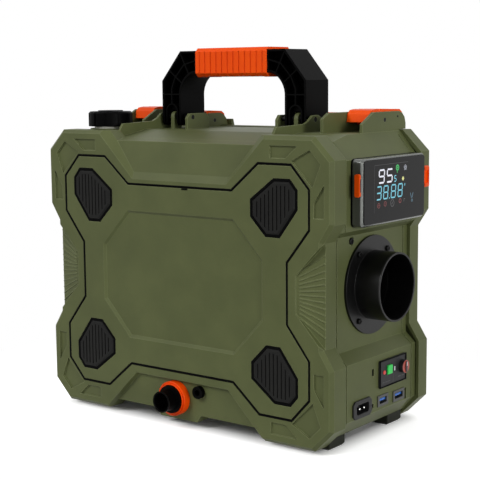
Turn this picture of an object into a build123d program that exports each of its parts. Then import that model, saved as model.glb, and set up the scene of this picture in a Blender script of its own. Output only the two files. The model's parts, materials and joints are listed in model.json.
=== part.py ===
from build123d import *
import os
from math import cos, hypot, radians, tan

# ---------------------------------------------------------------- driving dimensions, mm
# The casing is drawn about its own middle: x along the long side, -y to the front cover,
# z up from the floor. FRAME_SHIFT moves everything to the part's frame at the end.

# casing
HALF_WIDTH = 206.0
FRONT = -101.5
BACK = 101.5
FRONT_JOINT = -75.5          # parting plane of the front shell
REAR_JOINT = 79.0            # parting plane of the rear shell
MID_Z = 171.0
GUARD_RISE = 166.0           # corner guards above and below the middle height
GUARD_INNER = 120.0          # where a guard starts, from the middle
GUARD_CORNER = 24.0          # slanted corner of a guard
GUARD_END = 76.0
WAIST_HALF = 193.0
WAIST_END = 56.0
EDGE_CHAMFER = 4.0
WALL = 3.0
FRONT_WALL_BACK = -89.5      # inner face of the front wall
LIP_DEPTH = 6.0              # rebate that carries the front cover
GUARD_POCKET_DEPTH = 2.2
BEVEL = 42.0                 # slant of the sides of the upper recess, degrees
LOWER_BEVEL = 18.0
SEAM_GAP = 1.9
LEDGE_Z = 282.6              # lower edge of the upper recess
SLOPE_LOW = (-96.8, 290.5)   # depth and height where its sloping wall starts
LOWER_WALL_Z = 16.5          # lower edge of the wall in the bottom recess

# sunburst of ridges in the waist pockets
SUN_CENTRE_X = 128.0
SUN_RIBS = 13
SUN_STEP = 5.6
SUN_INNER = 160.0
SUN_SLOPE_START = -100.2
SUN_SLOPE_END = -94.0
SUN_OVERRUN = 8.0            # how far the pocket is cut past the waist's edge
SUN_RIB_START = 164.0
SUN_RIB_END = 192.4
SUN_RIB_HALF = 1.5
SUN_RIB_HIGH = 1.1
SUN_RIB_ROOT = 0.6

# deck and ends of the casing
DECK_Z = 336.0
DECK_HALF = 178.0
DECK_BREAK_Y = -31.0         # where the front slope of the deck ends
SLOPE_EDGE_Y = -92.1
SLOPE_EDGE_Z = 325.8
END_UPPER = 199.0            # end face beside the display
END_WAIST = 188.5            # end face behind the duct flange
END_PORTS = 201.0            # end face of the ports panel
BASE_Z = 13.0
FLOOR_Z = BASE_Z + WALL
JOINT_STRIP = 8.0            # raised strip of the middle part beside each joint
JOINT_GROOVE = 1.8
JOINT_GROOVE_DEPTH = 1.2
ROOT = 1.5                   # how deep the brackets root in the deck
UPPER_SPLIT = 311.0
LOWER_SPLIT = 31.0
HOLE_GAP = 0.4
FAR = 500.0                  # beyond the casing on every side
RECESS_SCREW = (-38.0, 223.0)
RECESS_RADIUS = 5.0
FOOT_X = 175.0
FOOT_Y = 60.0
FOOT_HALF_X = 10.0
FOOT_HALF_Y = 15.0
FOOT_CHAMFER = 2.5

# duct
DUCT_Y = 2.0
DUCT_Z = 171.0
DUCT_RADIUS = 38.0
DUCT_END = 222.0
DUCT_WALL = 2.0
FLANGE_RADIUS = 54.6
FLANGE_THICK = 3.0
GRILLE_RADIUS = 54.0
GRILLE_CLEAR = 47.0
GRILLE_THICK = 3.0
SLAT_SPACES = 9
SLAT_THICK = 2.8

# front cover
PANEL_DEPTH = 2.5
PANEL_BEVEL = 50.0           # slant of its sides, degrees
COVER_CHAMFER = 0.8
PAD_PROUD = 1.5
PAD_THICK = 5.5
PAD_GAP = 2.0
PAD_CHAMFER = 3.0
PAD_GROOVES = 9
PAD_MARGIN = 5.5             # plain rim of a pad beside its grooves
GROOVE_WIDTH = 1.5
GROOVE_DEPTH = 1.1

# handle
PIVOT_Y = 4.4
PIVOT_Z = 350.0
PIN_RADIUS = 3.0
RUNNING_GAP = 0.05
ARM_OUT = 106.3
ARM_IN = 77.0
ARM_FRONT = -3.8
ARM_BACK = 40.8
ARM_BOTTOM = 340.5
ARM_SHOULDER = 393.5         # where the slanted outer corner starts
ARM_TOE = 2.5
HANDLE_TOP = 428.7
HANDLE_TOP_HALF = 77.0
INNER_CORNER = ((ARM_IN, 378.0), (71.5, 393.0), (58.0, 402.5))     # round corner under the bar
BAR_FRONT = 3.0
BAR_BACK = 34.0
BAR_LOW = 404.5
BAR_HIGH = 424.0
CELL_DEPTH = 14.0
CELL_RIM = 2.6
RIB_WIDTH = 1.6
ARM_SPINE = [(91.5, 366.0), (91.5, 384.0), (85.5, 397.5), (71.5, 412.5), (52.4, 417.5)]
ARM_CROSS_RIBS = [
    ((77.0, 377.3), (106.3, 377.3)),
    ((74.0, 390.0), (95.5, 406.5)),
    ((64.5, 402.0), (77.0, 426.0)),
]
ARCH_RADIUS = 9.3            # round wall over the lug's slot
ARCH_Z = 357.0
MOUTH_RADIUS = 7.6
MOUTH_DEPTH = 5.0
KNUCKLE_RADIUS = 5.6
CHEEK_GAP = 1.2
SWING_GAP = 1.5
GRIP_HALF = 52.4
GRIP_FRONT = -5.0
GRIP_BACK = 42.0
GRIP_BOTTOM = 397.6
GRIP_TOP = 431.6
GRIP_CHAMFER = 4.5
GRIP_RIBS = 11
GRIP_MARGIN = 6.0
GRIP_GROOVE = 1.4
GRIP_GROOVE_DEPTH = 0.9
SCALLOP_RADIUS = 9.0
SCALLOP_DEPTH = 1.4
LUG_X = 91.5
LUG_THICK = 5.0
LUG_RADIUS = 7.0
FIN_X = 112.0
FIN_THICK = 3.0
FIN_REACH = 6.0              # how far a fin reaches over the front shell
FIN_BACK = 23.0
FIN_TOP = [
    (-70.0, 344.0), (-17.0, 345.5), (-9.0, 348.5), (-1.0, 354.4), (9.0, 354.8), (15.5, 352.0), (21.0, 346.0),
]
EAR_X = 66.8
EAR_THICK = 3.5
EAR_SIDE = [(-6.0, 349.0), (-1.0, 354.5), (30.0, 354.5), (35.0, 349.0)]
PIN_END = 4.0

# latches: middle, half width of the lever, front of the lever, top
LATCH_PIN_RADIUS = 2.5
LATCH_BACK = 93.5
END_LATCH = (159.0, 14.5, 20.0, 361.0)
REAR_LATCH = (95.0, 9.0, 52.0, 356.0)
LATCH_WALL = 3.5
LATCH_SIDE_GAP = 0.7
CATCH_FRONT = 86.0           # bar of the rear shell under a claw
CATCH_BACK = 89.4
CATCH_TOP = 342.0
KEEPER_TOP = 344.8           # raised edge of the rear shell behind a rear latch
KEEPER_HALF = 18.0
END_WALL = (0.0, 24.0)       # where the walls of a latch start, and the length of their slant
REAR_WALL = (43.0, 15.0)
LONG_WALL = (-26.0, 12.0)    # the wall between the handle and the right end latch
FIN_CLEAR = 0.6
KEEPER_CORNER = 3.0
CATCH_INSET = 4.0            # a catch bar is narrower than its lever by this on each side
OVERHANG_GAP = 1.6           # between the rear shell and the walls that reach over it
CREST_DROP = 3.0             # the walls stay lower than the lever's top
CREST_INSET = 0.8
WALL_SLANT = 0.52            # rise per length of the slanted front
WALL_CORNER = [(15.0, 0.0), (8.0, 2.0), (2.5, 7.0), (0.0, 14.0)]     # back from the rear, down from the crest
PIVOT_SHARE = 0.367          # the pin's place along the lever
PIVOT_DROP = 12.0
LEVER_NOSE = (1.5, 5.0)      # in from the front edge, down from the top
# a lever's side: share of the way from its front to the pin, and drop from its top
LEVER_TOP = [(0.22, 1.0), (0.5, 0.0), (0.7, 0.0), (0.76, 1.6), (0.88, 1.6), (0.95, 0.0)]
LEVER_REAR = [(7.5, 1.0), (2.5, 4.0), (0.0, 10.0)]
LEVER_BOSS = [(9.0, 0.8), (7.0, -2.2), (5.0, -5.5), (-5.0, -5.5), (-7.0, -2.2)]       # about the pin
CLAW_LOW = 339.0
CLAW_THICK = 3.0
CLAW_ROOT = 3.3

# filler
FILL_X = -146.0
FILL_Y = -54.0
NECK_RADIUS = 19.5
NECK_TOP = 351.0
CAP_RADIUS = 26.5
CAP_BOTTOM = 340.3
CAP_TOP = 359.0
CAP_BORE = 20.3
CAP_DISC_RADIUS = 15.0
CAP_DISC_RISE = 1.2
CAP_CHAMFER = 2.0
CAP_LOBES = 12
FLUTE_HALF = 1.8
FLUTE_DEPTH = 1.3
SEAL_THICK = 2.6
SEAL_GAP = 0.3
BOSS_RADIUS = 24.5
BOSS_TOP = 337.8

# tank and fuel feed
TANK_BOTTOM = 238.0
TANK_TOP = 318.0
TANK_BOX = (-180.0, 60.0, -70.0, 72.0)      # low x, high x, low y, high y
TANK_CHAMFER = 8.0
FEED_Y = -66.0               # filter and pump lie in one line beside the burner
FEED_X = (-150.0, -140.0, -106.0, -98.0, -52.0, -36.0, -20.0)
FEED_BEND = 9.0
PUMP_RADIUS = 12.0
PUMP_NOSE_RADIUS = 7.0
PUMP_REST = (-84.0, -66.0)
PUMP_REST_HALF = 8.0
FILTER_RADIUS = 10.0
LINE_RADIUS = 2.5

# display pod
POD_Y = 9.3
POD_HALF = 65.7
DOCK_Y = 6.0
DOCK_HALF = 39.0
DOCK_LOW = 253.0
DOCK_HIGH = 299.0
POD_BOTTOM = 240.5
POD_TOP = 312.0
POD_BACK = 199.2
POD_FRONT = 213.0
GLASS_FRONT = 214.0
GLASS_HALF = 63.2
GRIP_TAB_BACK = 206.8
GRIP_TAB_FACE = 212.8
TONGUE_FACE = 210.4
GRIP_OUT_FRONT = 5.5
GRIP_OUT_REAR = 11.0
GLASS_LOW = POD_BOTTOM + 2.2
GLASS_HIGH = POD_TOP - 1.8
GLASS_BACK = 211.0
GLASS_CORNER = 4.0
GLASS_GAP = 0.1
POD_CORNER = 5.0
POD_CHAMFER = 2.0
BOARD_CORNER = 2.0
DOCK_GAP = 1.0
BOARD_BACK = 208.0
PLUG_BACK = 188.0
GRIP_TAB_LOW = 273.0
GRIP_TAB_HIGH = 297.0
GRIP_TAB_CHAMFER = 1.5
GRIP_STANDOFF = 2.1          # gap between the housing and the grip's body
TONGUE_REACH = 2.2
TONGUE_POCKET = 5.0
TONGUE_GAP = 0.3
FINGER_DEPTH = 2.2
FINGER_HALF = 7.0
FINGER_RIM = 1.2

# ports panel
SWITCH_BOX = (-2.0, 55.0, 55.5, 86.5)      # low y, high y, low z, high z
INLET_BOX = (-55.0, -18.0, 31.5, 51.5)
USB_BOXES = ((-4.0, 18.0, 35.0, 47.5), (29.0, 53.0, 33.5, 46.0))
BUTTON_BOX = (13.0, 23.5, 68.5, 79.5)
KNOB_Y = 46.0
KNOB_Z = 72.5
KNOB_RADIUS = 7.5
KNOB_SHAFT = 2.5
KNOB_GAP = 0.3
KNOB_HIGH = 5.0
RIDGE_THICK = 2.8
RIDGE_HIGH = 1.5
BUTTON_ROOM = 3.0            # behind the button, for its travel
BUTTON_GAP = 0.35
BUTTON_PROUD = 2.0
BUTTON_CHAMFER = 0.8
SWITCH_CORNER = 2.0
INLET_CORNER = 4.0
WELL_MARGIN = (6.0, 4.5)
WELL_CORNER = 2.0
INLET_PIN_RADIUS = 1.2
INLET_PIN_LENGTH = 8.5
INLET_PIN_SPACE = 8.6
USB_FRAME = 1.2
USB_MARGIN = 3.5
USB_HALF = 3.2
USB_TONGUE = (-0.2, 1.8)     # about the middle height
USB_SIDE_GAP = 1.2
PORT_FACE = 203.0
PORT_BACK = 184.0
BUTTON_BACK = 193.0
WELL_BACK = 189.0
RIM = 1.5                    # how far a frame overlaps its cut-out
# middle y and z, width, height
PORT_SLOTS = ((-13.0, 76.0, 4.5, 8.0), (57.5, 38.0, 3.5, 13.0), (-13.0, 38.5, 3.5, 5.0))
SLOT_DEPTH = 1.5

# exhaust and combustion air, in the bottom recess
EXHAUST_X = -12.0
EXHAUST_Z = 33.0
EXHAUST_END = -122.5
EXHAUST_RADIUS = 12.2
STUB_RADIUS = 16.0
PIPE_RADIUS = 11.0
PIPE_BEND = 18.0
STUB_STEP = -108.0
STUB_WALL = 1.6
GASKET_FACE = -104.0
GASKET_RADIUS = 20.0
RECESS_WALL_Y = -95.5
AIR_X = 23.5
AIR_Z = 44.6
AIR_RADIUS = 7.2
AIR_NECK_RADIUS = 5.5
AIR_LENGTH = 5.5
AIR_BORE = 3.6
HOSE_RADIUS = 6.0
HOSE_BEND = 12.0

# burner
BURNER_RADIUS = 52.0
BURNER_WALL = 2.5
BURNER_BORE = BURNER_RADIUS - BURNER_WALL
BURNER_END = 150.0           # where the straight casing meets the outlet hood
HOOD_STEP = 168.0
CORE_RADIUS = 30.0
CORE_START = -20.0
CORE_END = 140.0
CORE_SEAT = 24.0             # where the flanges start in the core
CUP_WALL = 4.0
CUP_FLOOR = 7.0
EXCHANGER_FIN = 2.4
FIN_START = 2.0
FIN_END = 135.0
PORT_HALF = 12.0             # flat flange under the burner, for exhaust and air
PORT_START = -24.5
PORT_END = 33.0
INLET_HALF = 6.0             # flat boss beside the burner, for the fuel
FRAME_PLATES = (-163.0, 45.0)
FRAME_WINDOW = (-40.0, 44.0, 40.0, 100.0)
PLUG_X = -10.0
PLUG_RADIUS = 5.0
PLUG_SEAT_HALF = 7.0
PLUG_SEAT_TOP = DUCT_Z + 34.0
MOTOR_RADIUS = 24.0
MOTOR_X = (-52.0, -27.0)
STRUTS = 3
STRUT_X = (-42.0, -36.0)
STRUT_THICK = 3.0
HUB_RADIUS = 16.0
HUB_X = (-84.0, -60.0)
SHAFT_START = -80.0
FAN_RADIUS = 46.0
BLADES = 9
BLADE_PITCH = 35.0
BLADE_WIDTH = 20.0
BLADE_THICK = 2.4
FINS = 12
SLOT_GAP = 0.3
SHAFT_RADIUS = 3.0

# electrics
SUPPLY_BOX = (55.0, 150.0, 58.0, 74.0)       # low x, high x, half width, top
BOARD_X = 160.0
BOARD_THICK = 1.6
BOARD_HALF = 60.0
BOARD_TOP = 110.0
BOARD_PIECES = ((10.4, 20.0, 40.0, 92.0, 108.0), (8.4, -50.0, -20.0, 60.0, 100.0))   # height, then the box

FRAME_SHIFT = (-(DUCT_END - HALF_WIDTH) / 2, -(EXHAUST_END + BACK) / 2, 0.0)

AXES = {"x": (1, 0, 0), "y": (0, 1, 0), "z": (0, 0, 1)}


# ---------------------------------------------------------------- helpers
def put(axis, along, a, b):
    """A point at `along` on the axis, with (a, b) on the other two axes in x, y, z order."""
    if axis == "x":
        return (along, a, b)
    if axis == "y":
        return (a, along, b)
    return (a, b, along)


def prism(points, axis, start, end):
    """A straight prism of a flat outline along an axis."""
    low, high = min(start, end), max(start, end)
    wire = Polyline([put(axis, low, a, b) for a, b in points], close=True)
    return extrude(make_face(wire), amount=high - low, dir=AXES[axis])


def block(x0, x1, y0, y1, z0, z1):
    """A box between two corners."""
    middle = ((x0 + x1) / 2, (y0 + y1) / 2, (z0 + z1) / 2)
    return Pos(*middle) * Box(abs(x1 - x0), abs(y1 - y0), abs(z1 - z0))


def rod(axis, radius, start, end, a, b):
    """A round bar along an axis, through (a, b) on the other two."""
    turn = {"x": Rot(0, 90, 0), "y": Rot(90, 0, 0), "z": Rot(0, 0, 0)}[axis]
    middle = put(axis, (start + end) / 2, a, b)
    return Pos(*middle) * turn * Cylinder(radius, abs(end - start))


def tube(axis, radius, bore, start, end, a, b):
    """A round tube along an axis."""
    return rod(axis, radius, start, end, a, b) - rod(axis, bore, start - 1, end + 1, a, b)


def both_sides(points):
    """A right-hand outline, top to bottom, closed by its mirror image."""
    return points + [(-x, z) for x, z in reversed(points)]


def from_middle(points):
    """Points drawn about the middle height of the casing, moved to their height."""
    return [(x, z + MID_Z) for x, z in points]


def quadrants(points):
    """The four mirrored copies of an outline drawn in the upper right quadrant."""
    for side in (1, -1):
        for rise in (1, -1):
            yield from_middle([(side * x, rise * z) for x, z in points])


def pipe(points, bend, radius):
    """A round pipe along straight runs joined by quarter bends."""
    corners = [Vector(*p) for p in points]
    path = []
    start = corners[0]
    for before, corner, after in zip(corners, corners[1:], corners[2:]):
        enter = corner + (before - corner).normalized() * bend
        leave = corner + (after - corner).normalized() * bend
        middle = corner + ((enter - corner) + (leave - corner)) * (1 - 0.5 ** 0.5)
        path += [Line(start, enter), ThreePointArc(enter, middle, leave)]
        start = leave
    path.append(Line(start, corners[-1]))
    wire = Wire(path)
    section = Plane(origin=corners[0], z_dir=(corners[1] - corners[0]).normalized()) * Circle(radius)
    return sweep(section, path=wire)


def deck_height(y):
    """Height of the deck's surface: a front slope, then level."""
    if y > DECK_BREAK_Y:
        return DECK_Z
    rise = (DECK_Z - SLOPE_EDGE_Z) / (DECK_BREAK_Y - SLOPE_EDGE_Y)
    return DECK_Z + rise * (y - DECK_BREAK_Y)


def funnel(points, start, depth, slant):
    """A prism along +y that narrows on its way in, by a slant in degrees."""
    mouth = make_face(Polyline([(x, start, z) for x, z in points], close=True))
    return extrude(mouth, amount=depth, dir=(0, 1, 0), taper=slant)


# ---------------------------------------------------------------- outlines of the casing
SHELL_SIDE = [
    (GUARD_INNER, GUARD_RISE), (HALF_WIDTH - GUARD_CORNER, GUARD_RISE),
    (HALF_WIDTH, GUARD_RISE - GUARD_CORNER), (HALF_WIDTH, GUARD_END), (WAIST_HALF, WAIST_END),
    (WAIST_HALF, -WAIST_END), (HALF_WIDTH, -GUARD_END), (HALF_WIDTH, GUARD_CORNER - GUARD_RISE),
    (HALF_WIDTH - GUARD_CORNER, -GUARD_RISE), (GUARD_INNER, -GUARD_RISE),
]
CAVITY_SIDE = [
    (GUARD_INNER - 16, GUARD_RISE - 16), (GUARD_INNER + 2, GUARD_RISE - 4),
    (HALF_WIDTH - GUARD_CORNER - 3, GUARD_RISE - 4), (HALF_WIDTH - 4, GUARD_RISE - GUARD_CORNER - 3),
    (HALF_WIDTH - 4, GUARD_END), (WAIST_HALF - 5, WAIST_END),
]
CAVITY_SIDE += [(x, -z) for x, z in reversed(CAVITY_SIDE)]
SEAM_CORNER = [(76.0, 105.0), (112.0, 135.5), (154.0, 135.5), (176.3, 111.0), (176.3, 69.5), (148.0, 33.5)]
RING_SIDE = [
    (DECK_HALF, DECK_Z - MID_Z), (END_UPPER, UPPER_SPLIT - MID_Z), (END_UPPER, 65.0), (END_WAIST, 58.0),
    (END_WAIST, -66.0), (END_PORTS, -77.5), (END_PORTS, LOWER_SPLIT - MID_Z), (186.0, BASE_Z - MID_Z),
]
MIDDLE_PANEL = [(77.5, 75.0), (117.0, 33.0), (117.0, -33.0), (77.5, -75.0)]
PAD_CORNER = [
    (132.5, 119.5), (152.5, 119.5), (161.0, 109.5), (161.0, 90.0),
    (139.0, 60.5), (122.0, 60.5), (103.0, 80.0), (103.0, 97.0),
]
TOP_MOUTH = [(188.5, 231.6), (68.5, 111.6)]
BOTTOM_MOUTH = [(68.5, -115.8), (127.0, -174.3)]
DRAIN_TAB = [(-44, -152), (-36, -163), (18, -163), (26, -152)]
SUN_POCKET = [(159.0, 19.0), (160.0, 20.0), (200.0, 63.0)]
GUARD_POCKETS = [
    [(127.0, 155.5), (162.0, 155.5), (147.0, 142.5), (127.0, 142.5)],
    [(154.5, 140.0), (177.5, 152.0), (191.5, 138.0), (181.5, 113.5)],
    [(183.0, 82.0), (195.5, 82.0), (195.5, 117.0), (183.0, 98.0)],
]


def seam_outline():
    """The 24-sided outline of the front cover."""
    upper = SEAM_CORNER
    lower = [(x, -z) for x, z in reversed(SEAM_CORNER)]
    return from_middle(both_sides(upper + lower))


def grown(points, axis, start, end, amount):
    """A prism of an outline grown, or shrunk, by an offset with sharp corners."""
    low = min(start, end)
    face = make_face(Polyline([put(axis, low, a, b) for a, b in points], close=True))
    return extrude(offset(face, amount, kind=Kind.INTERSECTION), amount=abs(end - start), dir=AXES[axis])


# ---------------------------------------------------------------- front and rear shells
def shell_blank():
    """A shell tray with guards, chamfered front edge and hollow back."""
    tray = prism(from_middle(both_sides(SHELL_SIDE)), "y", FRONT, FRONT_JOINT)
    face = tray.faces().sort_by(Axis.Y)[0]
    tray = chamfer(face.edges(), EDGE_CHAMFER)
    return tray - prism(from_middle(both_sides(CAVITY_SIDE)), "y", FRONT_WALL_BACK, FRONT_JOINT + 1)


def guard_pockets(depth):
    """Shallow pockets in the faces of the four corner guards."""
    pockets = Part()
    for outline in GUARD_POCKETS:
        for points in quadrants(outline):
            pockets += prism(points, "y", FRONT - 1, FRONT + depth)
    return pockets


def top_recess():
    """The space above the sloping wall in the middle of the front's upper edge, with bevelled sides."""
    behind = FRONT_JOINT + 1
    slope = [
        (FRONT - 1, LEDGE_Z), (FRONT, LEDGE_Z), SLOPE_LOW, (SLOPE_EDGE_Y, SLOPE_EDGE_Z),
        (behind, deck_height(behind)), (behind, FAR), (FRONT - 1, FAR),
    ]
    depth = SLOPE_EDGE_Y - FRONT
    mouth = from_middle(both_sides(TOP_MOUTH))
    opening = prism(mouth, "y", FRONT - 1, FRONT) + funnel(mouth, FRONT, depth, BEVEL)
    opening += grown(mouth, "y", SLOPE_EDGE_Y, behind, -depth * tan(radians(BEVEL)))
    return prism(slope, "x", -HALF_WIDTH, HALF_WIDTH) & opening


def bottom_recess():
    """The space in front of the lower wall, and under it, with bevelled sides."""
    wide = from_middle(both_sides(BOTTOM_MOUTH))
    depth = RECESS_WALL_Y - FRONT
    front = prism(wide, "y", FRONT - 1, FRONT) + funnel(wide, FRONT, depth, LOWER_BEVEL)
    under = grown(wide, "y", FRONT - 1, FRONT_JOINT + 1, -depth * tan(radians(LOWER_BEVEL)))
    return front + (under & block(-HALF_WIDTH, HALF_WIDTH, FRONT - 1, FRONT_JOINT + 1, -FAR, LOWER_WALL_Z))


def drain_tab():
    """The piece of the lower wall that drops behind the exhaust ring."""
    return prism(from_middle(DRAIN_TAB), "y", RECESS_WALL_Y, FRONT_JOINT)


def sunburst_slope():
    """Slope of the waist pocket, in y per x."""
    return (SUN_SLOPE_END - SUN_SLOPE_START) / (WAIST_HALF - SUN_INNER)


def sunburst_pocket():
    """The sloping pocket at the waist, deepest at the outer edge."""
    far = WAIST_HALF + SUN_OVERRUN
    low = SUN_SLOPE_START + sunburst_slope() * (far - SUN_INNER)
    side = [(SUN_INNER - 0.5, FRONT - 1), (SUN_INNER, SUN_SLOPE_START), (far, low), (far, FRONT - 1)]
    wedge = prism(side, "z", MID_Z - GUARD_END, MID_Z + GUARD_END)
    outline = SUN_POCKET + [(x, -z) for x, z in reversed(SUN_POCKET)]
    return wedge & prism(from_middle(outline), "y", FRONT - 2, FRONT_JOINT)


def sunburst_rib(turn):
    """One ridge of the sunburst, lying on the pocket's slope."""
    slope = sunburst_slope()
    origin = (SUN_CENTRE_X, SUN_SLOPE_START + slope * (SUN_CENTRE_X - SUN_INNER), MID_Z)
    ground = Plane(origin=origin, x_dir=(1, slope, 0), z_dir=(slope, -1, 0))
    stretch = hypot(1, slope) / cos(radians(turn))
    start = (SUN_RIB_START - SUN_CENTRE_X) * stretch
    end = (SUN_RIB_END - SUN_CENTRE_X) * stretch
    feet = [(start, side * SUN_RIB_HALF, -SUN_RIB_ROOT) for side in (-1, 1)]
    section = Polyline(feet + [(start, 0, SUN_RIB_HIGH)], close=True)
    return ground * Rot(0, 0, turn) * extrude(make_face(section), amount=end - start, dir=(1, 0, 0))


def sunburst():
    """The fan of ridges of one waist pocket."""
    middle = (SUN_RIBS - 1) / 2
    ribs = Part()
    for index in range(SUN_RIBS):
        ribs += sunburst_rib((index - middle) * SUN_STEP)
    return ribs


def guarded_tray():
    """A tray with the pockets of its four corner guards."""
    return shell_blank() - guard_pockets(GUARD_POCKET_DEPTH)


def front_shell():
    """Front tray: ribbed waist, rebate for the front cover, and holes for the exhaust and the air."""
    pocket = sunburst_pocket()
    ribs = sunburst()
    behind = FRONT_JOINT + 1
    tray = guarded_tray() - pocket - mirror(pocket, about=Plane.YZ)
    tray = tray + ribs + mirror(ribs, about=Plane.YZ)
    tray = tray - top_recess() - bottom_recess() + drain_tab()
    for side in (1, -1):
        near = side * FIN_X - FIN_THICK / 2 - FIN_CLEAR
        notch = grown(fin_outline(), "x", near, near + FIN_THICK + 2 * FIN_CLEAR, FIN_CLEAR)
        tray -= notch & block(-HALF_WIDTH, HALF_WIDTH, FRONT, behind, SLOPE_EDGE_Z, FAR)
    seam = seam_outline()
    tray -= grown(seam, "y", FRONT - 1, FRONT + LIP_DEPTH, SEAM_GAP)
    tray -= grown(seam, "y", FRONT + LIP_DEPTH - 1, FRONT_JOINT, -LIP_DEPTH)
    tray -= rod("y", STUB_RADIUS + HOLE_GAP, FRONT, behind, EXHAUST_X, EXHAUST_Z)
    return tray - rod("y", AIR_NECK_RADIUS, FRONT, behind, AIR_X, AIR_Z)


def rear_shell():
    """Rear tray, held by the latches: recessed panel, four catch bars and two raised keepers."""
    tray = mirror(guarded_tray(), about=Plane.XZ)
    panel = from_middle(both_sides(MIDDLE_PANEL))
    tray -= prism(panel, "y", BACK - PANEL_DEPTH, BACK + 1)
    tray -= grown(seam_outline(), "y", REAR_JOINT - 1, BACK - PANEL_DEPTH - WALL, -LIP_DEPTH)
    tray = tray & block(-HALF_WIDTH, HALF_WIDTH, REAR_JOINT, BACK + 1, 0, FAR)
    root = MID_Z + GUARD_RISE - 2
    near = LATCH_BACK + 2
    keeper = [(near, root), (near, KEEPER_TOP), (BACK - KEEPER_CORNER, KEEPER_TOP), (BACK, root)]
    for side in (1, -1):
        for middle, half, _, _ in (END_LATCH, REAR_LATCH):
            x = side * middle
            reach = half - CATCH_INSET
            tray += block(x - reach, x + reach, CATCH_FRONT, CATCH_BACK, root, CATCH_TOP)
        x = side * REAR_LATCH[0]
        tray += prism(keeper, "x", x - KEEPER_HALF, x + KEEPER_HALF)
    return tray


# ---------------------------------------------------------------- middle of the casing
def casing_ring():
    """Deck, ends and base as one open ring with a groove beside each joint, before it is divided."""
    outline = from_middle(both_sides(RING_SIDE))
    front, rear = FRONT_JOINT, REAR_JOINT
    side_view = [
        (front, -1), (front, deck_height(front)), (DECK_BREAK_Y, DECK_Z), (rear, DECK_Z), (rear, -1),
    ]
    inner_view = [
        (front - 1, -1), (front - 1, deck_height(front - 1) - WALL), (DECK_BREAK_Y, DECK_Z - WALL),
        (rear + 1, DECK_Z - WALL), (rear + 1, -1),
    ]
    outer = prism(outline, "y", front, rear) & prism(side_view, "x", -FAR, FAR)
    inner = grown(outline, "y", front - 1, rear + 1, -WALL) & prism(inner_view, "x", -FAR, FAR)
    for start in (front + JOINT_STRIP, rear - JOINT_STRIP - JOINT_GROOVE):
        end = start + JOINT_GROOVE
        for side in (1, -1):
            band = block(side * (DECK_HALF + 2), side * FAR, start, end, FLOOR_Z, DECK_Z)
            outer -= band - grown(outline, "y", start, end, -JOINT_GROOVE_DEPTH)
    return outer - inner


def latch_wall(x, start, slant, top):
    """One wall beside a latch lever: slanted front, round rear corner, overhanging the rear shell."""
    low = DECK_Z - ROOT
    over = DECK_Z + OVERHANG_GAP
    crest = top - CREST_DROP
    rear = LATCH_BACK - CREST_INSET
    side = [(start, low), (start, crest - WALL_SLANT * slant), (start + slant, crest)]
    side += [(rear - back, crest - down) for back, down in WALL_CORNER]
    side += [(rear, over), (REAR_JOINT, over), (REAR_JOINT, low)]
    return prism(side, "x", x - LATCH_WALL / 2, x + LATCH_WALL / 2)


def latch_pivot(front, top):
    """Depth and height of a latch pin, for a lever's front and top."""
    return (front + PIVOT_SHARE * (LATCH_BACK - front), top - PIVOT_DROP)


def latch_housings():
    """The walls on both sides of the four levers, with the pin holes."""
    walls = Part()
    for side in (1, -1):
        for latch, ordinary in ((END_LATCH, END_WALL), (REAR_LATCH, REAR_WALL)):
            middle, half, front, top = latch
            y, z = latch_pivot(front, top)
            for edge in (-1, 1):
                x = side * middle + edge * (half + LATCH_SIDE_GAP + LATCH_WALL / 2)
                beside_handle = latch is END_LATCH and side == 1 and edge == -1
                start, slant = LONG_WALL if beside_handle else ordinary
                wall = latch_wall(x, start, slant, top)
                walls += wall - rod("x", LATCH_PIN_RADIUS, x - LATCH_WALL, x + LATCH_WALL, y, z)
    return walls


def fin_outline():
    """Side view of a fin: level in front, reaching over the front shell, hump at the pin."""
    low = DECK_Z - ROOT
    joint_z = deck_height(FRONT_JOINT)
    foot_y = FRONT_JOINT - FIN_REACH
    foot = [
        (FIN_BACK, low), (DECK_BREAK_Y, low), (FRONT_JOINT, joint_z - ROOT),
        (FRONT_JOINT, joint_z + FIN_CLEAR), (foot_y, deck_height(foot_y) + FIN_CLEAR),
    ]
    return foot + FIN_TOP


def outer_fin(x):
    """Long fin outside a handle arm."""
    return prism(fin_outline(), "x", x - FIN_THICK / 2, x + FIN_THICK / 2)


def inner_ear(x):
    """Ear inside a handle arm."""
    low = DECK_Z - ROOT
    side = [(EAR_SIDE[0][0], low)] + EAR_SIDE + [(EAR_SIDE[-1][0], low)]
    return prism(side, "x", x - EAR_THICK / 2, x + EAR_THICK / 2)


def lug(x):
    """Lug between the cheeks of a handle arm, round at the top."""
    half = LUG_THICK / 2
    stem = block(x - half, x + half, PIVOT_Y - LUG_RADIUS, PIVOT_Y + LUG_RADIUS, DECK_Z - ROOT, PIVOT_Z)
    return stem + rod("x", LUG_RADIUS, x - half, x + half, PIVOT_Y, PIVOT_Z)


def top_deck():
    """Deck with the handle brackets, latch housings and filler boss."""
    deck = casing_ring() & block(-FAR, FAR, -FAR, FAR, UPPER_SPLIT, FAR)
    boss = rod("z", BOSS_RADIUS, deck_height(FILL_Y) - 4, BOSS_TOP, FILL_X, FILL_Y)
    deck += boss & block(-FAR, 0, FRONT_JOINT, 0, 0, FAR)
    deck -= rod("z", NECK_RADIUS + HOLE_GAP, UPPER_SPLIT, BOSS_TOP + 1, FILL_X, FILL_Y)
    brackets = latch_housings()
    for side in (1, -1):
        bracket = outer_fin(side * FIN_X) + inner_ear(side * EAR_X) + lug(side * LUG_X)
        pin_start = side * (EAR_X - PIN_END)
        pin_end = side * (FIN_X + PIN_END)
        brackets += bracket - rod("x", PIN_RADIUS, pin_start, pin_end, PIVOT_Y, PIVOT_Z)
    return deck + brackets


def end_panel(side):
    """One end of the casing between the shells."""
    return casing_ring() & block(0, side * FAR, -FAR, FAR, LOWER_SPLIT, UPPER_SPLIT)


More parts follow.
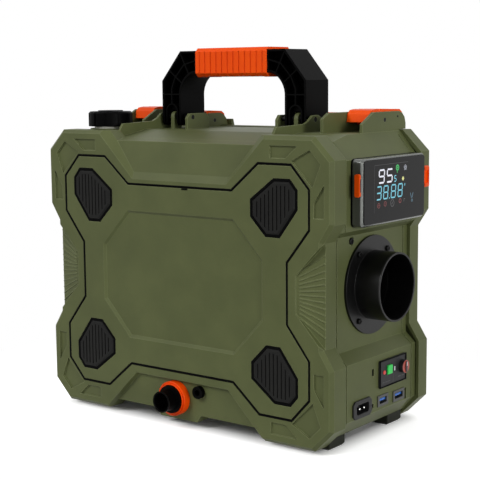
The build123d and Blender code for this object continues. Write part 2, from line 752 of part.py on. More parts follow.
def inside_rim(box, start, end):
    """The space or body behind the frame of a port, smaller all round by the rim."""
    y0, y1, z0, z1 = box
    return block(start, end, y0 + RIM, y1 - RIM, z0 + RIM, z1 - RIM)


def end_panel_right():
    """Outlet end: display dock, duct hole, ports cut-outs and small slots."""
    panel = end_panel(1)
    gap = DOCK_GAP
    panel -= block(
        END_UPPER - WALL - 1, END_UPPER + 1, DOCK_Y - DOCK_HALF - gap, DOCK_Y + DOCK_HALF + gap,
        DOCK_LOW - gap, DOCK_HIGH + gap)
    panel -= rod("x", DUCT_RADIUS + 1, END_WAIST - 10, END_WAIST + 10, DUCT_Y, DUCT_Z)
    for box in (SWITCH_BOX, INLET_BOX) + USB_BOXES:
        panel -= inside_rim(box, END_WAIST, END_PORTS + 1)
    for y, z, wide, high in PORT_SLOTS:
        y0, y1 = y - wide / 2, y + wide / 2
        panel -= block(END_PORTS - SLOT_DEPTH, END_PORTS + 1, y0, y1, z - high / 2, z + high / 2)
    y, z = RECESS_SCREW
    return panel - rod("x", RECESS_RADIUS, END_WAIST - SLOT_DEPTH, END_WAIST + 1, y, z)


def end_panel_left():
    """Inlet end: round hole for the air intake grille."""
    return end_panel(-1) - rod("x", GRILLE_CLEAR, -END_WAIST - 10, 10 - END_WAIST, DUCT_Y, DUCT_Z)


def base_tray():
    """Floor of the casing."""
    return casing_ring() & block(-FAR, FAR, -FAR, FAR, 0, LOWER_SPLIT)


def foot(x, y):
    """A rubber foot under the base, chamfered at the floor."""
    pad = block(x - FOOT_HALF_X, x + FOOT_HALF_X, y - FOOT_HALF_Y, y + FOOT_HALF_Y, 0, BASE_Z)
    return chamfer(pad.edges().group_by(Axis.Z)[0], FOOT_CHAMFER)


# ---------------------------------------------------------------- front cover and pads
def front_cover():
    """The cover in the seam: recessed middle panel and four pad pockets."""
    cover = prism(seam_outline(), "y", FRONT, FRONT + LIP_DEPTH)
    face = cover.faces().sort_by(Axis.Y)[0]
    cover = chamfer(face.edges(), COVER_CHAMFER)
    cover -= funnel(from_middle(both_sides(MIDDLE_PANEL)), FRONT, PANEL_DEPTH, PANEL_BEVEL)
    for points in quadrants(PAD_CORNER):
        cover -= grown(points, "y", FRONT - 1, FRONT + PAD_THICK - PAD_PROUD, PAD_GAP)
    return cover


def cover_pad(points):
    """A black bumper pad: wide chamfered rim and upright grooves."""
    face_y = FRONT - PAD_PROUD
    pad = prism(points, "y", face_y, face_y + PAD_THICK)
    pad = chamfer(pad.faces().sort_by(Axis.Y)[0].edges(), PAD_CHAMFER)
    xs = [x for x, _ in points]
    zs = [z for _, z in points]
    start = min(xs) + PAD_MARGIN
    pitch = (max(xs) - PAD_MARGIN - start) / PAD_GROOVES
    inside = grown(points, "y", face_y - 1, face_y + GROOVE_DEPTH, -PAD_MARGIN)
    for index in range(PAD_GROOVES):
        x = start + pitch * (index + 0.5)
        half = GROOVE_WIDTH / 2
        pad -= block(x - half, x + half, face_y - 1, face_y + GROOVE_DEPTH, min(zs), max(zs)) & inside
    return pad


# ---------------------------------------------------------------- handle
def handle_outline():
    """Front view of the handle frame: slanted outer corners, rounded inner ones."""
    right = [(HANDLE_TOP_HALF, HANDLE_TOP), (ARM_OUT, ARM_SHOULDER)]
    right += [(ARM_OUT, ARM_BOTTOM), (ARM_IN, ARM_BOTTOM)]
    around = Polyline([(-x, z) for x, z in reversed(right)] + right)
    edges = [around]
    for side in (1, -1):
        low, middle, high = [(side * x, z) for x, z in INNER_CORNER]
        edges += [Line((side * ARM_IN, ARM_BOTTOM), low), ThreePointArc(low, middle, high)]
    x, z = INNER_CORNER[-1]
    edges.append(Line((x, z), (-x, z)))
    return make_face(edges)


def rib(start, end, width, depth):
    """A straight rib of an arm's front, between two points of the front view."""
    x0, z0 = start
    x1, z1 = end
    length = hypot(x1 - x0, z1 - z0)
    across = (-(z1 - z0) / length * width / 2, (x1 - x0) / length * width / 2)
    points = [
        (x0 + across[0], z0 + across[1]), (x1 + across[0], z1 + across[1]),
        (x1 - across[0], z1 - across[1]), (x0 - across[0], z0 - across[1]),
    ]
    return prism(points, "y", ARM_FRONT, ARM_FRONT + depth)


def arm_cells():
    """The hollow cells in the front of the right arm, between its ribs."""
    bottom = ARM_FRONT + CELL_DEPTH
    inside = offset(handle_outline(), -CELL_RIM, kind=Kind.INTERSECTION)
    hollow = Pos(0, bottom, 0) * extrude(Plane.XZ * inside, amount=CELL_DEPTH + 1)
    hollow = hollow & block(GRIP_HALF + 2, ARM_OUT, ARM_FRONT - 1, bottom, ARM_BOTTOM, HANDLE_TOP)
    ribs = Part()
    for start, end in list(zip(ARM_SPINE, ARM_SPINE[1:])) + ARM_CROSS_RIBS:
        ribs += rib(start, end, RIB_WIDTH, CELL_DEPTH)
    arch = rod("y", ARCH_RADIUS, ARM_FRONT, bottom, LUG_X, ARCH_Z)
    arch += block(LUG_X - ARCH_RADIUS, LUG_X + ARCH_RADIUS, ARM_FRONT, bottom, ARM_BOTTOM, ARCH_Z)
    return hollow - ribs - arch


def lug_slot():
    """The slot of the right arm that straddles its lug and lets it swing through."""
    start = ARM_FRONT - 1
    low = ARM_BOTTOM - 1
    reach = LUG_RADIUS + SWING_GAP
    half = LUG_THICK / 2 + CHEEK_GAP
    slot = block(LUG_X - half, LUG_X + half, start, PIVOT_Y + reach, low, PIVOT_Z + reach)
    end = ARM_FRONT + MOUTH_DEPTH
    mouth = rod("y", MOUTH_RADIUS, start, end, LUG_X, ARCH_Z)
    mouth += block(LUG_X - MOUTH_RADIUS, LUG_X + MOUTH_RADIUS, start, end, low, ARCH_Z)
    knuckle = rod("x", KNUCKLE_RADIUS, LUG_X - ARCH_RADIUS, LUG_X + ARCH_RADIUS, PIVOT_Y, PIVOT_Z)
    return slot + (mouth - knuckle)


def grip_bar(half):
    """The bar between the arms, inside the grip."""
    return block(-half, half, BAR_FRONT, BAR_BACK, BAR_LOW, BAR_HIGH)


def handle_frame():
    """Black carrying frame: two ribbed arms and the bar inside the grip."""
    frame = Pos(0, ARM_BACK, 0) * extrude(Plane.XZ * handle_outline(), amount=ARM_BACK - ARM_FRONT)
    frame -= block(-GRIP_HALF, GRIP_HALF, -FAR, FAR, DECK_Z, FAR)
    frame += grip_bar(GRIP_HALF + 1)
    cells = arm_cells()
    slot = lug_slot()
    frame = frame - cells - slot - mirror(cells, about=Plane.YZ) - mirror(slot, about=Plane.YZ)
    frame -= rod("x", PIN_RADIUS + RUNNING_GAP, -ARM_OUT - 1, ARM_OUT + 1, PIVOT_Y, PIVOT_Z)
    bottom = frame.edges().filter_by(Axis.X).group_by(Axis.Z)[0]
    return chamfer(bottom, ARM_TOE)


def handle_grip():
    """Orange grip sleeve, with upright grooves in front and behind and scallops underneath."""
    sleeve = block(-GRIP_HALF, GRIP_HALF, GRIP_FRONT, GRIP_BACK, GRIP_BOTTOM, GRIP_TOP)
    sleeve = chamfer(sleeve.edges().filter_by(Axis.X), GRIP_CHAMFER)
    sleeve -= grip_bar(GRIP_HALF + 1)
    pitch = 2 * (GRIP_HALF - GRIP_MARGIN) / GRIP_RIBS
    for index in range(GRIP_RIBS + 1):
        x = -GRIP_HALF + GRIP_MARGIN + pitch * index
        x0, x1 = x - GRIP_GROOVE / 2, x + GRIP_GROOVE / 2
        for y in (GRIP_FRONT, GRIP_BACK):
            low, high = GRIP_BOTTOM + 2, GRIP_TOP - GRIP_CHAMFER
            sleeve -= block(x0, x1, y - GRIP_GROOVE_DEPTH, y + GRIP_GROOVE_DEPTH, low, high)
        if index < GRIP_RIBS:
            z = GRIP_BOTTOM + SCALLOP_DEPTH - SCALLOP_RADIUS
            sleeve -= rod("y", SCALLOP_RADIUS, GRIP_FRONT - 1, GRIP_BACK + 1, x + pitch / 2, z)
    return sleeve


def handle_pins():
    """Two steel pins, each through fin, arm, lug and ear."""
    pins = Part()
    for side in (1, -1):
        start = side * (EAR_X - EAR_THICK / 2)
        end = side * (FIN_X + FIN_THICK / 2)
        pins += rod("x", PIN_RADIUS, start, end, PIVOT_Y, PIVOT_Z)
    return pins


# ---------------------------------------------------------------- latches
def latch_lever(x, half, front, top):
    """Rocker lever: pressed down at the front, its rear claw lifts off the catch bar."""
    y, z = latch_pivot(front, top)
    reach = y - front
    nose_y, nose_drop = LEVER_NOSE
    side = [(front, z + LEVER_BOSS[-1][1]), (front + nose_y, top - nose_drop)]
    side += [(front + share * reach, top - drop) for share, drop in LEVER_TOP]
    side += [(LATCH_BACK - back, top - drop) for back, drop in LEVER_REAR]
    side += [(LATCH_BACK, CLAW_LOW), (LATCH_BACK - CLAW_THICK, CLAW_LOW)]
    side += [(LATCH_BACK - CLAW_ROOT, z + LEVER_BOSS[0][1])]
    side += [(y + along, z + rise) for along, rise in LEVER_BOSS]
    lever = prism(side, "x", x - half, x + half)
    return lever - rod("x", LATCH_PIN_RADIUS + RUNNING_GAP, x - half - 1, x + half + 1, y, z)


def latch_pins():
    """The four fixed pins of the latches."""
    pins = Part()
    for side in (1, -1):
        for middle, half, front, top in (END_LATCH, REAR_LATCH):
            y, z = latch_pivot(front, top)
            reach = half + LATCH_SIDE_GAP + LATCH_WALL
            pins += rod("x", LATCH_PIN_RADIUS, side * middle - reach, side * middle + reach, y, z)
    return pins


# ---------------------------------------------------------------- filler and tank
def filler_neck():
    """Neck of the tank, standing through the deck."""
    return tube("z", NECK_RADIUS, NECK_RADIUS - WALL, TANK_TOP, NECK_TOP, FILL_X, FILL_Y)


def cap_seal():
    """Sealing disc between neck and cap."""
    return rod("z", NECK_RADIUS, NECK_TOP, NECK_TOP + SEAL_THICK, FILL_X, FILL_Y)


def filler_cap():
    """Screw cap with shallow grip flutes and a raised middle disc."""
    shoulder = CAP_TOP - CAP_DISC_RISE
    cap = rod("z", CAP_RADIUS, CAP_BOTTOM, shoulder, FILL_X, FILL_Y)
    cap = chamfer(cap.edges().sort_by(Axis.Z)[-1], CAP_CHAMFER)
    inner = CAP_RADIUS - FLUTE_DEPTH
    flute = block(inner, CAP_RADIUS + 1, -FLUTE_HALF, FLUTE_HALF, CAP_BOTTOM - 1, shoulder - CAP_CHAMFER)
    for index in range(CAP_LOBES):
        cap -= Pos(FILL_X, FILL_Y, 0) * Rot(0, 0, 360 * index / CAP_LOBES) * flute
    cap += rod("z", CAP_DISC_RADIUS, shoulder - 1, CAP_TOP, FILL_X, FILL_Y)
    return cap - rod("z", CAP_BORE, CAP_BOTTOM - 1, NECK_TOP + SEAL_THICK + SEAL_GAP, FILL_X, FILL_Y)


def fuel_tank():
    """Moulded tank over the burner, open under the neck."""
    x0, x1, y0, y1 = TANK_BOX
    tank = block(x0, x1, y0, y1, TANK_BOTTOM, TANK_TOP)
    tank = chamfer(tank.edges().filter_by(Axis.Z), TANK_CHAMFER)
    cavity = block(x0 + WALL, x1 - WALL, y0 + WALL, y1 - WALL, TANK_BOTTOM + WALL, TANK_TOP - WALL)
    cavity = chamfer(cavity.edges().filter_by(Axis.Z), TANK_CHAMFER - 1)
    return tank - cavity - rod("z", NECK_RADIUS - WALL, TANK_TOP - WALL - 1, TANK_TOP + 1, FILL_X, FILL_Y)


def fuel_line():
    """Three runs of fuel line: tank to filter, filter to pump, pump to burner."""
    tank_x, filter_x, filter_end, pump_x, _, pump_end, inlet_x = FEED_X
    y, z = FEED_Y, DUCT_Z
    burner_y = DUCT_Y - BURNER_RADIUS
    first = pipe([(tank_x, y, TANK_BOTTOM), (tank_x, y, z), (filter_x, y, z)], FEED_BEND, LINE_RADIUS)
    second = rod("x", LINE_RADIUS, filter_end, pump_x, y, z)
    third = pipe([(pump_end, y, z), (inlet_x, y, z), (inlet_x, burner_y, z)], FEED_BEND, LINE_RADIUS)
    return first + second + third


def fuel_filter():
    """Inline fuel filter."""
    return rod("x", FILTER_RADIUS, FEED_X[1], FEED_X[2], FEED_Y, DUCT_Z)


def fuel_pump():
    """Dosing pump: body with a smaller outlet end, on a rubber block against the burner casing."""
    body = rod("x", PUMP_RADIUS, FEED_X[3], FEED_X[4], FEED_Y, DUCT_Z)
    body += rod("x", PUMP_NOSE_RADIUS, FEED_X[4], FEED_X[5], FEED_Y, DUCT_Z)
    x0, x1 = PUMP_REST
    inside = DUCT_Y - BURNER_RADIUS + PUMP_REST_HALF
    rest = block(x0, x1, FEED_Y + PUMP_RADIUS / 2, inside, DUCT_Z - PUMP_REST_HALF, DUCT_Z + PUMP_REST_HALF)
    return body + (rest - rod("x", BURNER_RADIUS, x0 - 1, x1 + 1, DUCT_Y, DUCT_Z))


def port_flange(grow):
    """Flat flange of the heat exchanger for exhaust and air, and its slot when grown."""
    low = DUCT_Z - BURNER_RADIUS
    half = PORT_HALF + grow
    return block(
        PORT_START - grow, PORT_END + grow, DUCT_Y - half, DUCT_Y + half, low - grow, DUCT_Z - CORE_SEAT)


def fuel_boss(grow):
    """Flat boss of the heat exchanger for the fuel line, and its slot when grown."""
    half = INLET_HALF + grow
    x, low = FEED_X[6], DUCT_Y - BURNER_RADIUS
    return block(x - half, x + half, low - grow, DUCT_Y - CORE_SEAT, DUCT_Z - half, DUCT_Z + half)


# ---------------------------------------------------------------- burner and air path
def burner_casing():
    """Straight air casing of the burner, from the intake end to the outlet hood."""
    casing = tube("x", BURNER_RADIUS, BURNER_BORE, WALL - END_WAIST, BURNER_END, DUCT_Y, DUCT_Z)
    return casing - port_flange(SLOT_GAP) - fuel_boss(SLOT_GAP)


def outlet_hood():
    """Stepped hood that narrows the burner casing to the outlet collar."""
    rim = tube("x", BURNER_RADIUS, BURNER_BORE, BURNER_END, HOOD_STEP, DUCT_Y, DUCT_Z)
    bore = DUCT_RADIUS - BURNER_WALL
    plate = tube("x", BURNER_RADIUS, bore, HOOD_STEP, HOOD_STEP + BURNER_WALL, DUCT_Y, DUCT_Z)
    return rim + plate + tube("x", DUCT_RADIUS, bore, HOOD_STEP + BURNER_WALL, END_WAIST, DUCT_Y, DUCT_Z)


def plug_seat():
    """Flat seat of the glow plug on top of the heat exchanger."""
    half = PLUG_SEAT_HALF
    low = DUCT_Z + CORE_SEAT
    return block(PLUG_X - half, PLUG_X + half, DUCT_Y - half, DUCT_Y + half, low, PLUG_SEAT_TOP)


def heat_exchanger():
    """Cast heat exchanger: closed cup with long radial fins, every third one reaching the casing."""
    core = rod("x", CORE_RADIUS, CORE_START, CORE_END, DUCT_Y, DUCT_Z)
    half = EXCHANGER_FIN / 2
    for index in range(FINS):
        reach = BURNER_BORE if index % 3 == 0 else FAN_RADIUS
        fin = block(FIN_START, FIN_END, -half, half, CORE_RADIUS - 2, reach)
        core += Pos(0, DUCT_Y, DUCT_Z) * Rot(360 * (index + 0.5) / FINS, 0, 0) * fin
    core = core & rod("x", BURNER_BORE, CORE_START, CORE_END, DUCT_Y, DUCT_Z)
    core = core + port_flange(0) + fuel_boss(0) + plug_seat()
    start, end = CORE_START + CUP_FLOOR, CORE_END - CUP_FLOOR
    return core - rod("x", CORE_RADIUS - CUP_WALL, start, end, DUCT_Y, DUCT_Z)


def inner_frame():
    """Two sheet bulkheads on the floor: the burner lies in their cradles and the tank on their tops."""
    frame = Part()
    side = BURNER_RADIUS
    y0, y1, z0, z1 = FRAME_WINDOW
    for x in FRAME_PLATES:
        end = x + WALL
        plate = block(x, end, FRONT_JOINT + JOINT_STRIP, REAR_JOINT - JOINT_STRIP - 1, FLOOR_Z, TANK_BOTTOM)
        plate -= block(x - 1, end + 1, y0, y1, z0, z1)
        plate -= block(x - 1, end + 1, DUCT_Y - side, DUCT_Y + side, DUCT_Z, DUCT_Z + side + 2)
        frame += plate
    return frame - rod("x", side, FRAME_PLATES[0] - 1, FRAME_PLATES[1] + WALL + 1, DUCT_Y, DUCT_Z)


def glow_plug():
    """Glow plug on top of the burner's cold end."""
    return rod("z", PLUG_RADIUS, PLUG_SEAT_TOP, DUCT_Z + BURNER_BORE - 1, PLUG_X, DUCT_Y)


def fan_motor():
    """Motor between the fan and the burner, on three struts."""
    start, end = MOTOR_X
    motor = rod("x", MOTOR_RADIUS, start, end, DUCT_Y, DUCT_Z)
    half = STRUT_THICK / 2
    for index in range(STRUTS):
        strut = block(STRUT_X[0], STRUT_X[1], -half, half, MOTOR_RADIUS - 4, BURNER_RADIUS)
        motor += Pos(0, DUCT_Y, DUCT_Z) * Rot(360 * (index + 0.5) / STRUTS, 0, 0) * strut
    motor = motor & rod("x", BURNER_BORE, start, end, DUCT_Y, DUCT_Z)
    return motor + rod("x", SHAFT_RADIUS, SHAFT_START, start + 2, DUCT_Y, DUCT_Z)


def fan_impeller():
    """Axial fan: hub with pitched blades."""
    start, end = HUB_X
    fan = rod("x", HUB_RADIUS, start, end, DUCT_Y, DUCT_Z)
    half, thick = BLADE_WIDTH / 2, BLADE_THICK / 2
    blade = block(-half, half, -thick, thick, HUB_RADIUS - 2, FAN_RADIUS - 1)
    blade = Pos((start + end) / 2, 0, 0) * Rot(0, 0, BLADE_PITCH) * blade
    for index in range(BLADES):
        fan += Pos(0, DUCT_Y, DUCT_Z) * Rot(360 * index / BLADES, 0, 0) * blade
    return fan - rod("x", SHAFT_RADIUS + RUNNING_GAP, start - 1, end + 1, DUCT_Y, DUCT_Z)


def duct_collar():
    """Black outlet collar with its round flange."""
    flange = rod("x", FLANGE_RADIUS, END_WAIST, END_WAIST + FLANGE_THICK, DUCT_Y, DUCT_Z)
    collar = flange + rod("x", DUCT_RADIUS, END_WAIST, DUCT_END, DUCT_Y, DUCT_Z)
    return collar - rod("x", DUCT_RADIUS - DUCT_WALL, END_WAIST - 1, DUCT_END + 1, DUCT_Y, DUCT_Z)


def intake_grille():
    """Round grille of the air intake with level slats."""
    clear = GRILLE_CLEAR - 0.5
    start, end = -END_WAIST - GRILLE_THICK, -END_WAIST
    ring = tube("x", GRILLE_RADIUS, clear, start, end, DUCT_Y, DUCT_Z)
    pitch = 2 * clear / SLAT_SPACES
    half = SLAT_THICK / 2
    slats = Part()
    for index in range(1, SLAT_SPACES):
        z = DUCT_Z - clear + pitch * index
        slats += block(start, end, DUCT_Y - GRILLE_RADIUS, DUCT_Y + GRILLE_RADIUS, z - half, z + half)
    return ring + (slats & rod("x", clear + 1, start, end, DUCT_Y, DUCT_Z))


def exhaust_elbow():
    """Exhaust pipe from the heat exchanger's flange to the front."""
    top = (EXHAUST_X, DUCT_Y, DUCT_Z - BURNER_RADIUS)
    corner = (EXHAUST_X, DUCT_Y, EXHAUST_Z)
    return pipe([top, corner, (EXHAUST_X, FRONT_WALL_BACK, EXHAUST_Z)], PIPE_BEND, PIPE_RADIUS)


def exhaust_stub():
    """Black stepped exhaust stub."""
    stub = rod("y", STUB_RADIUS, STUB_STEP, FRONT_WALL_BACK, EXHAUST_X, EXHAUST_Z)
    stub += rod("y", EXHAUST_RADIUS, EXHAUST_END, STUB_STEP, EXHAUST_X, EXHAUST_Z)
    bore = EXHAUST_RADIUS - STUB_WALL
    return stub - rod("y", bore, EXHAUST_END - 1, FRONT_WALL_BACK + 1, EXHAUST_X, EXHAUST_Z)


def exhaust_gasket():
    """Orange ring round the exhaust stub."""
    return tube("y", GASKET_RADIUS, STUB_RADIUS, GASKET_FACE, RECESS_WALL_Y, EXHAUST_X, EXHAUST_Z)


def combustion_air_port():
    """Small black port for the combustion air."""
    port = tube("y", AIR_RADIUS, AIR_BORE, RECESS_WALL_Y - AIR_LENGTH, RECESS_WALL_Y, AIR_X, AIR_Z)
    return port + tube("y", AIR_NECK_RADIUS, AIR_BORE, RECESS_WALL_Y, FRONT_WALL_BACK, AIR_X, AIR_Z)


def combustion_air_hose():
    """Hose from the port up to the heat exchanger's flange."""
    top = DUCT_Z - BURNER_RADIUS
    points = [(AIR_X, FRONT_WALL_BACK, AIR_Z), (AIR_X, DUCT_Y, AIR_Z), (AIR_X, DUCT_Y, top)]
    return pipe(points, HOSE_BEND, HOSE_RADIUS)


# ---------------------------------------------------------------- electrics
def power_supply():
    """Mains power supply on the floor of the casing."""
    x0, x1, half, top = SUPPLY_BOX
    return block(x0, x1, -half, half, FLOOR_Z, top)


def control_board():
    """Upright controller board behind the ports, with a relay and a heat sink."""
    face = BOARD_X + BOARD_THICK
    board = block(BOARD_X, face, -BOARD_HALF, BOARD_HALF, FLOOR_Z, BOARD_TOP)
    for high, y0, y1, z0, z1 in BOARD_PIECES:
        board += block(face, face + high, y0, y1, z0, z1)
    return board


def switch_panel():
    """Black bezel of the switches, with openings for the button and the knob's shaft."""
    y0, y1, z0, z1 = SWITCH_BOX
    bezel = block(END_PORTS, PORT_FACE, y0, y1, z0, z1)
    bezel = chamfer(bezel.edges().filter_by(Axis.X), SWITCH_CORNER)
    bezel += inside_rim(SWITCH_BOX, PORT_BACK, END_PORTS)
    y0, y1, z0, z1 = BUTTON_BOX
    bezel -= block(BUTTON_BACK - BUTTON_ROOM, PORT_FACE + 1, y0, y1, z0, z1)
    return bezel - rod("x", KNOB_SHAFT, BUTTON_BACK, PORT_FACE + 1, KNOB_Y, KNOB_Z)


def power_button():
    """Square push button."""
    y0, y1, z0, z1 = BUTTON_BOX
    gap = BUTTON_GAP
    button = block(BUTTON_BACK, PORT_FACE + BUTTON_PROUD, y0 + gap, y1 - gap, z0 + gap, z1 - gap)
    return chamfer(button.faces().sort_by(Axis.X)[-1].edges(), BUTTON_CHAMFER)


def mode_knob():
    """Small round knob with a pointer ridge."""
    foot_x, face_x = PORT_FACE + KNOB_GAP, PORT_FACE + KNOB_HIGH
    reach = KNOB_RADIUS - RIM
    y0, y1 = KNOB_Y - RIDGE_THICK / 2, KNOB_Y + RIDGE_THICK / 2
    knob = rod("x", KNOB_RADIUS, foot_x, face_x, KNOB_Y, KNOB_Z)
    knob += block(face_x - 1, face_x + RIDGE_HIGH, y0, y1, KNOB_Z - reach, KNOB_Z + reach)
    return knob + rod("x", KNOB_SHAFT - RUNNING_GAP, BUTTON_BACK + BUTTON_ROOM, foot_x + 1, KNOB_Y, KNOB_Z)


def mains_inlet():
    """Two-pole inlet: plate with cut corners round a deep socket."""
    y0, y1, z0, z1 = INLET_BOX
    plate = chamfer(block(END_PORTS, PORT_FACE, y0, y1, z0, z1).edges().filter_by(Axis.X), INLET_CORNER)
    plate += inside_rim(INLET_BOX, PORT_BACK, END_PORTS)
    side, rise = WELL_MARGIN
    well = block(WELL_BACK, PORT_FACE + 1, y0 + side, y1 - side, z0 + rise, z1 - rise)
    return plate - chamfer(well.edges().filter_by(Axis.X), WELL_CORNER)


def inlet_pins():
    """The two contact pins of the inlet."""
    y0, y1, z0, z1 = INLET_BOX
    pins = Part()
    for side in (-1, 1):
        y = (y0 + y1) / 2 + side * INLET_PIN_SPACE / 2
        pins += rod("x", INLET_PIN_RADIUS, WELL_BACK, WELL_BACK + INLET_PIN_LENGTH, y, (z0 + z1) / 2)
    return pins


def usb_port(box):
    """USB socket: frame, opening and contact tongue."""
    y0, y1, z0, z1 = box
    middle = (z0 + z1) / 2
    port = block(END_PORTS, END_PORTS + USB_FRAME, y0, y1, z0, z1)
    port += inside_rim(box, PORT_BACK + 3, END_PORTS)
    y0, y1 = y0 + USB_MARGIN, y1 - USB_MARGIN
    port -= block(WELL_BACK, END_PORTS + USB_FRAME + 1, y0, y1, middle - USB_HALF, middle + USB_HALF)
    low, high = USB_TONGUE
    y0, y1 = y0 + USB_SIDE_GAP, y1 - USB_SIDE_GAP
    return port + block(WELL_BACK - 1, END_PORTS - 0.5, y0, y1, middle + low, middle + high)


# ---------------------------------------------------------------- display pod
def pod_section(half_y, z0, z1, x0, x1, corner):
    """A slab of the pod: rounded rectangle across the x axis."""
    slab = block(x0, x1, POD_Y - half_y, POD_Y + half_y, z0, z1)
    return fillet(slab.edges().filter_by(Axis.X), corner)


def display_housing():
    """Metallic bezel of the removable display, with a plug at its back."""
    pod = pod_section(POD_HALF, POD_BOTTOM, POD_TOP, POD_BACK, POD_FRONT, POD_CORNER)
    pod = chamfer(pod.faces().sort_by(Axis.X)[-1].edges(), POD_CHAMFER)
    pod -= pod_section(GLASS_HALF, GLASS_LOW, GLASS_HIGH, BOARD_BACK, POD_FRONT + 1, GLASS_CORNER)
    gap = TONGUE_GAP
    for side in (-1, 1):
        inner, outer = POD_Y + side * (POD_HALF - TONGUE_POCKET), POD_Y + side * (POD_HALF + 1)
        pod -= block(
            GRIP_TAB_BACK - gap, TONGUE_FACE + gap, inner, outer, GRIP_TAB_LOW - gap, GRIP_TAB_HIGH + gap)
    return pod + block(PLUG_BACK, POD_BACK + 1, DOCK_Y - DOCK_HALF, DOCK_Y + DOCK_HALF, DOCK_LOW, DOCK_HIGH)


def display_glass():
    """Dark glass of the display."""
    low, high = GLASS_LOW + GLASS_GAP, GLASS_HIGH - GLASS_GAP
    return pod_section(GLASS_HALF - GLASS_GAP, low, high, GLASS_BACK, GLASS_FRONT, GLASS_CORNER)


def display_board():
    """Board behind the glass."""
    low, high = GLASS_LOW + GLASS_CORNER, GLASS_HIGH - GLASS_CORNER
    return pod_section(GLASS_HALF - 2 * GLASS_CORNER, low, high, BOARD_BACK, GLASS_BACK, BOARD_CORNER)


def display_grip(side):
    """Orange release tab at one side of the display: tongue in the housing, grip with a finger recess."""
    inner = POD_Y + side * (POD_HALF - TONGUE_REACH)
    body = POD_Y + side * (POD_HALF + GRIP_STANDOFF)
    outer = POD_Y + side * (POD_HALF + (GRIP_OUT_REAR if side > 0 else GRIP_OUT_FRONT))
    tab = block(GRIP_TAB_BACK, GRIP_TAB_FACE, body, outer, GRIP_TAB_LOW, GRIP_TAB_HIGH)
    tab = chamfer(tab.edges().filter_by(Axis.Y), GRIP_TAB_CHAMFER)
    middle = (GRIP_TAB_LOW + GRIP_TAB_HIGH) / 2
    floor = GRIP_TAB_FACE - FINGER_DEPTH
    edge = outer - side * FINGER_RIM
    recess = block(floor, GRIP_TAB_FACE + 1, body - side, edge, middle - FINGER_HALF, middle + FINGER_HALF)
    tongue = block(GRIP_TAB_BACK, TONGUE_FACE, inner, body + side, GRIP_TAB_LOW + 2, GRIP_TAB_HIGH - 2)
    return tab - recess + tongue


# ---------------------------------------------------------------- parts list
def corner_name(index):
    """Names of the four corners in the order of quadrants()."""
    return ("upper_right", "lower_right", "upper_left", "lower_left")[index]


def all_parts():
    """Every sub-part by node name."""
    parts = {
        "front_shell": front_shell(),
        "rear_shell": rear_shell(),
        "top_deck": top_deck(),
        "end_panel_right": end_panel_right(),
        "end_panel_left": end_panel_left(),
        "base_tray": base_tray(),
        "front_cover": front_cover(),
        "handle_frame": handle_frame(),
        "handle_grip": handle_grip(),
        "handle_pins": handle_pins(),
        "latch_pins": latch_pins(),
        "filler_neck": filler_neck(),
        "cap_seal": cap_seal(),
        "filler_cap": filler_cap(),
        "fuel_tank": fuel_tank(),
        "fuel_line": fuel_line(),
        "fuel_filter": fuel_filter(),
        "fuel_pump": fuel_pump(),
        "inner_frame": inner_frame(),
        "burner_casing": burner_casing(),
        "outlet_hood": outlet_hood(),
        "heat_exchanger": heat_exchanger(),
        "glow_plug": glow_plug(),
        "fan_motor": fan_motor(),
        "fan_impeller": fan_impeller(),
        "duct_collar": duct_collar(),
        "intake_grille": intake_grille(),
        "exhaust_elbow": exhaust_elbow(),
        "exhaust_stub": exhaust_stub(),
        "exhaust_gasket": exhaust_gasket(),
        "combustion_air_port": combustion_air_port(),
        "combustion_air_hose": combustion_air_hose(),
        "power_supply": power_supply(),
        "control_board": control_board(),
        "switch_panel": switch_panel(),
        "power_button": power_button(),
        "mode_knob": mode_knob(),
        "mains_inlet": mains_inlet(),
        "inlet_pins": inlet_pins(),
        "display_housing": display_housing(),
        "display_glass": display_glass(),
        "display_board": display_board(),
        "display_grip_front": display_grip(-1),
        "display_grip_rear": display_grip(1),
    }
    for index, points in enumerate(quadrants(PAD_CORNER)):
        parts["cover_pad_" + corner_name(index)] = cover_pad(points)
    for index, box in enumerate(USB_BOXES):
        parts["usb_port_%d" % (index + 1)] = usb_port(box)
    for name, side in (("right", 1), ("left", -1)):
        for kind, (middle, half, front, top) in (("end", END_LATCH), ("rear", REAR_LATCH)):
            parts["%s_latch_%s" % (kind, name)] = latch_lever(side * middle, half, front, top)
        for place, y in (("front", -FOOT_Y), ("rear", FOOT_Y)):
            parts["foot_%s_%s" % (place, name)] = foot(side * FOOT_X, y)
    return parts


os.makedirs("parts", exist_ok=True)
for name, part in all_parts().items():
    export_step(Pos(*FRAME_SHIFT) * part, "parts/" + name + ".step")
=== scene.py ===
# %% [markdown]
# # A portable diesel air heater in a toolbox casing
# The real object is a moulded olive-green case with black and orange fittings. Its solids come
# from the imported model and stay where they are. This notebook gives each of them a real finish,
# adds the small things that make it look made and used, and sets up the camera and the light.

import json
import math
from contextlib import contextmanager

import bmesh
import bpy
from mathutils import Matrix, Vector


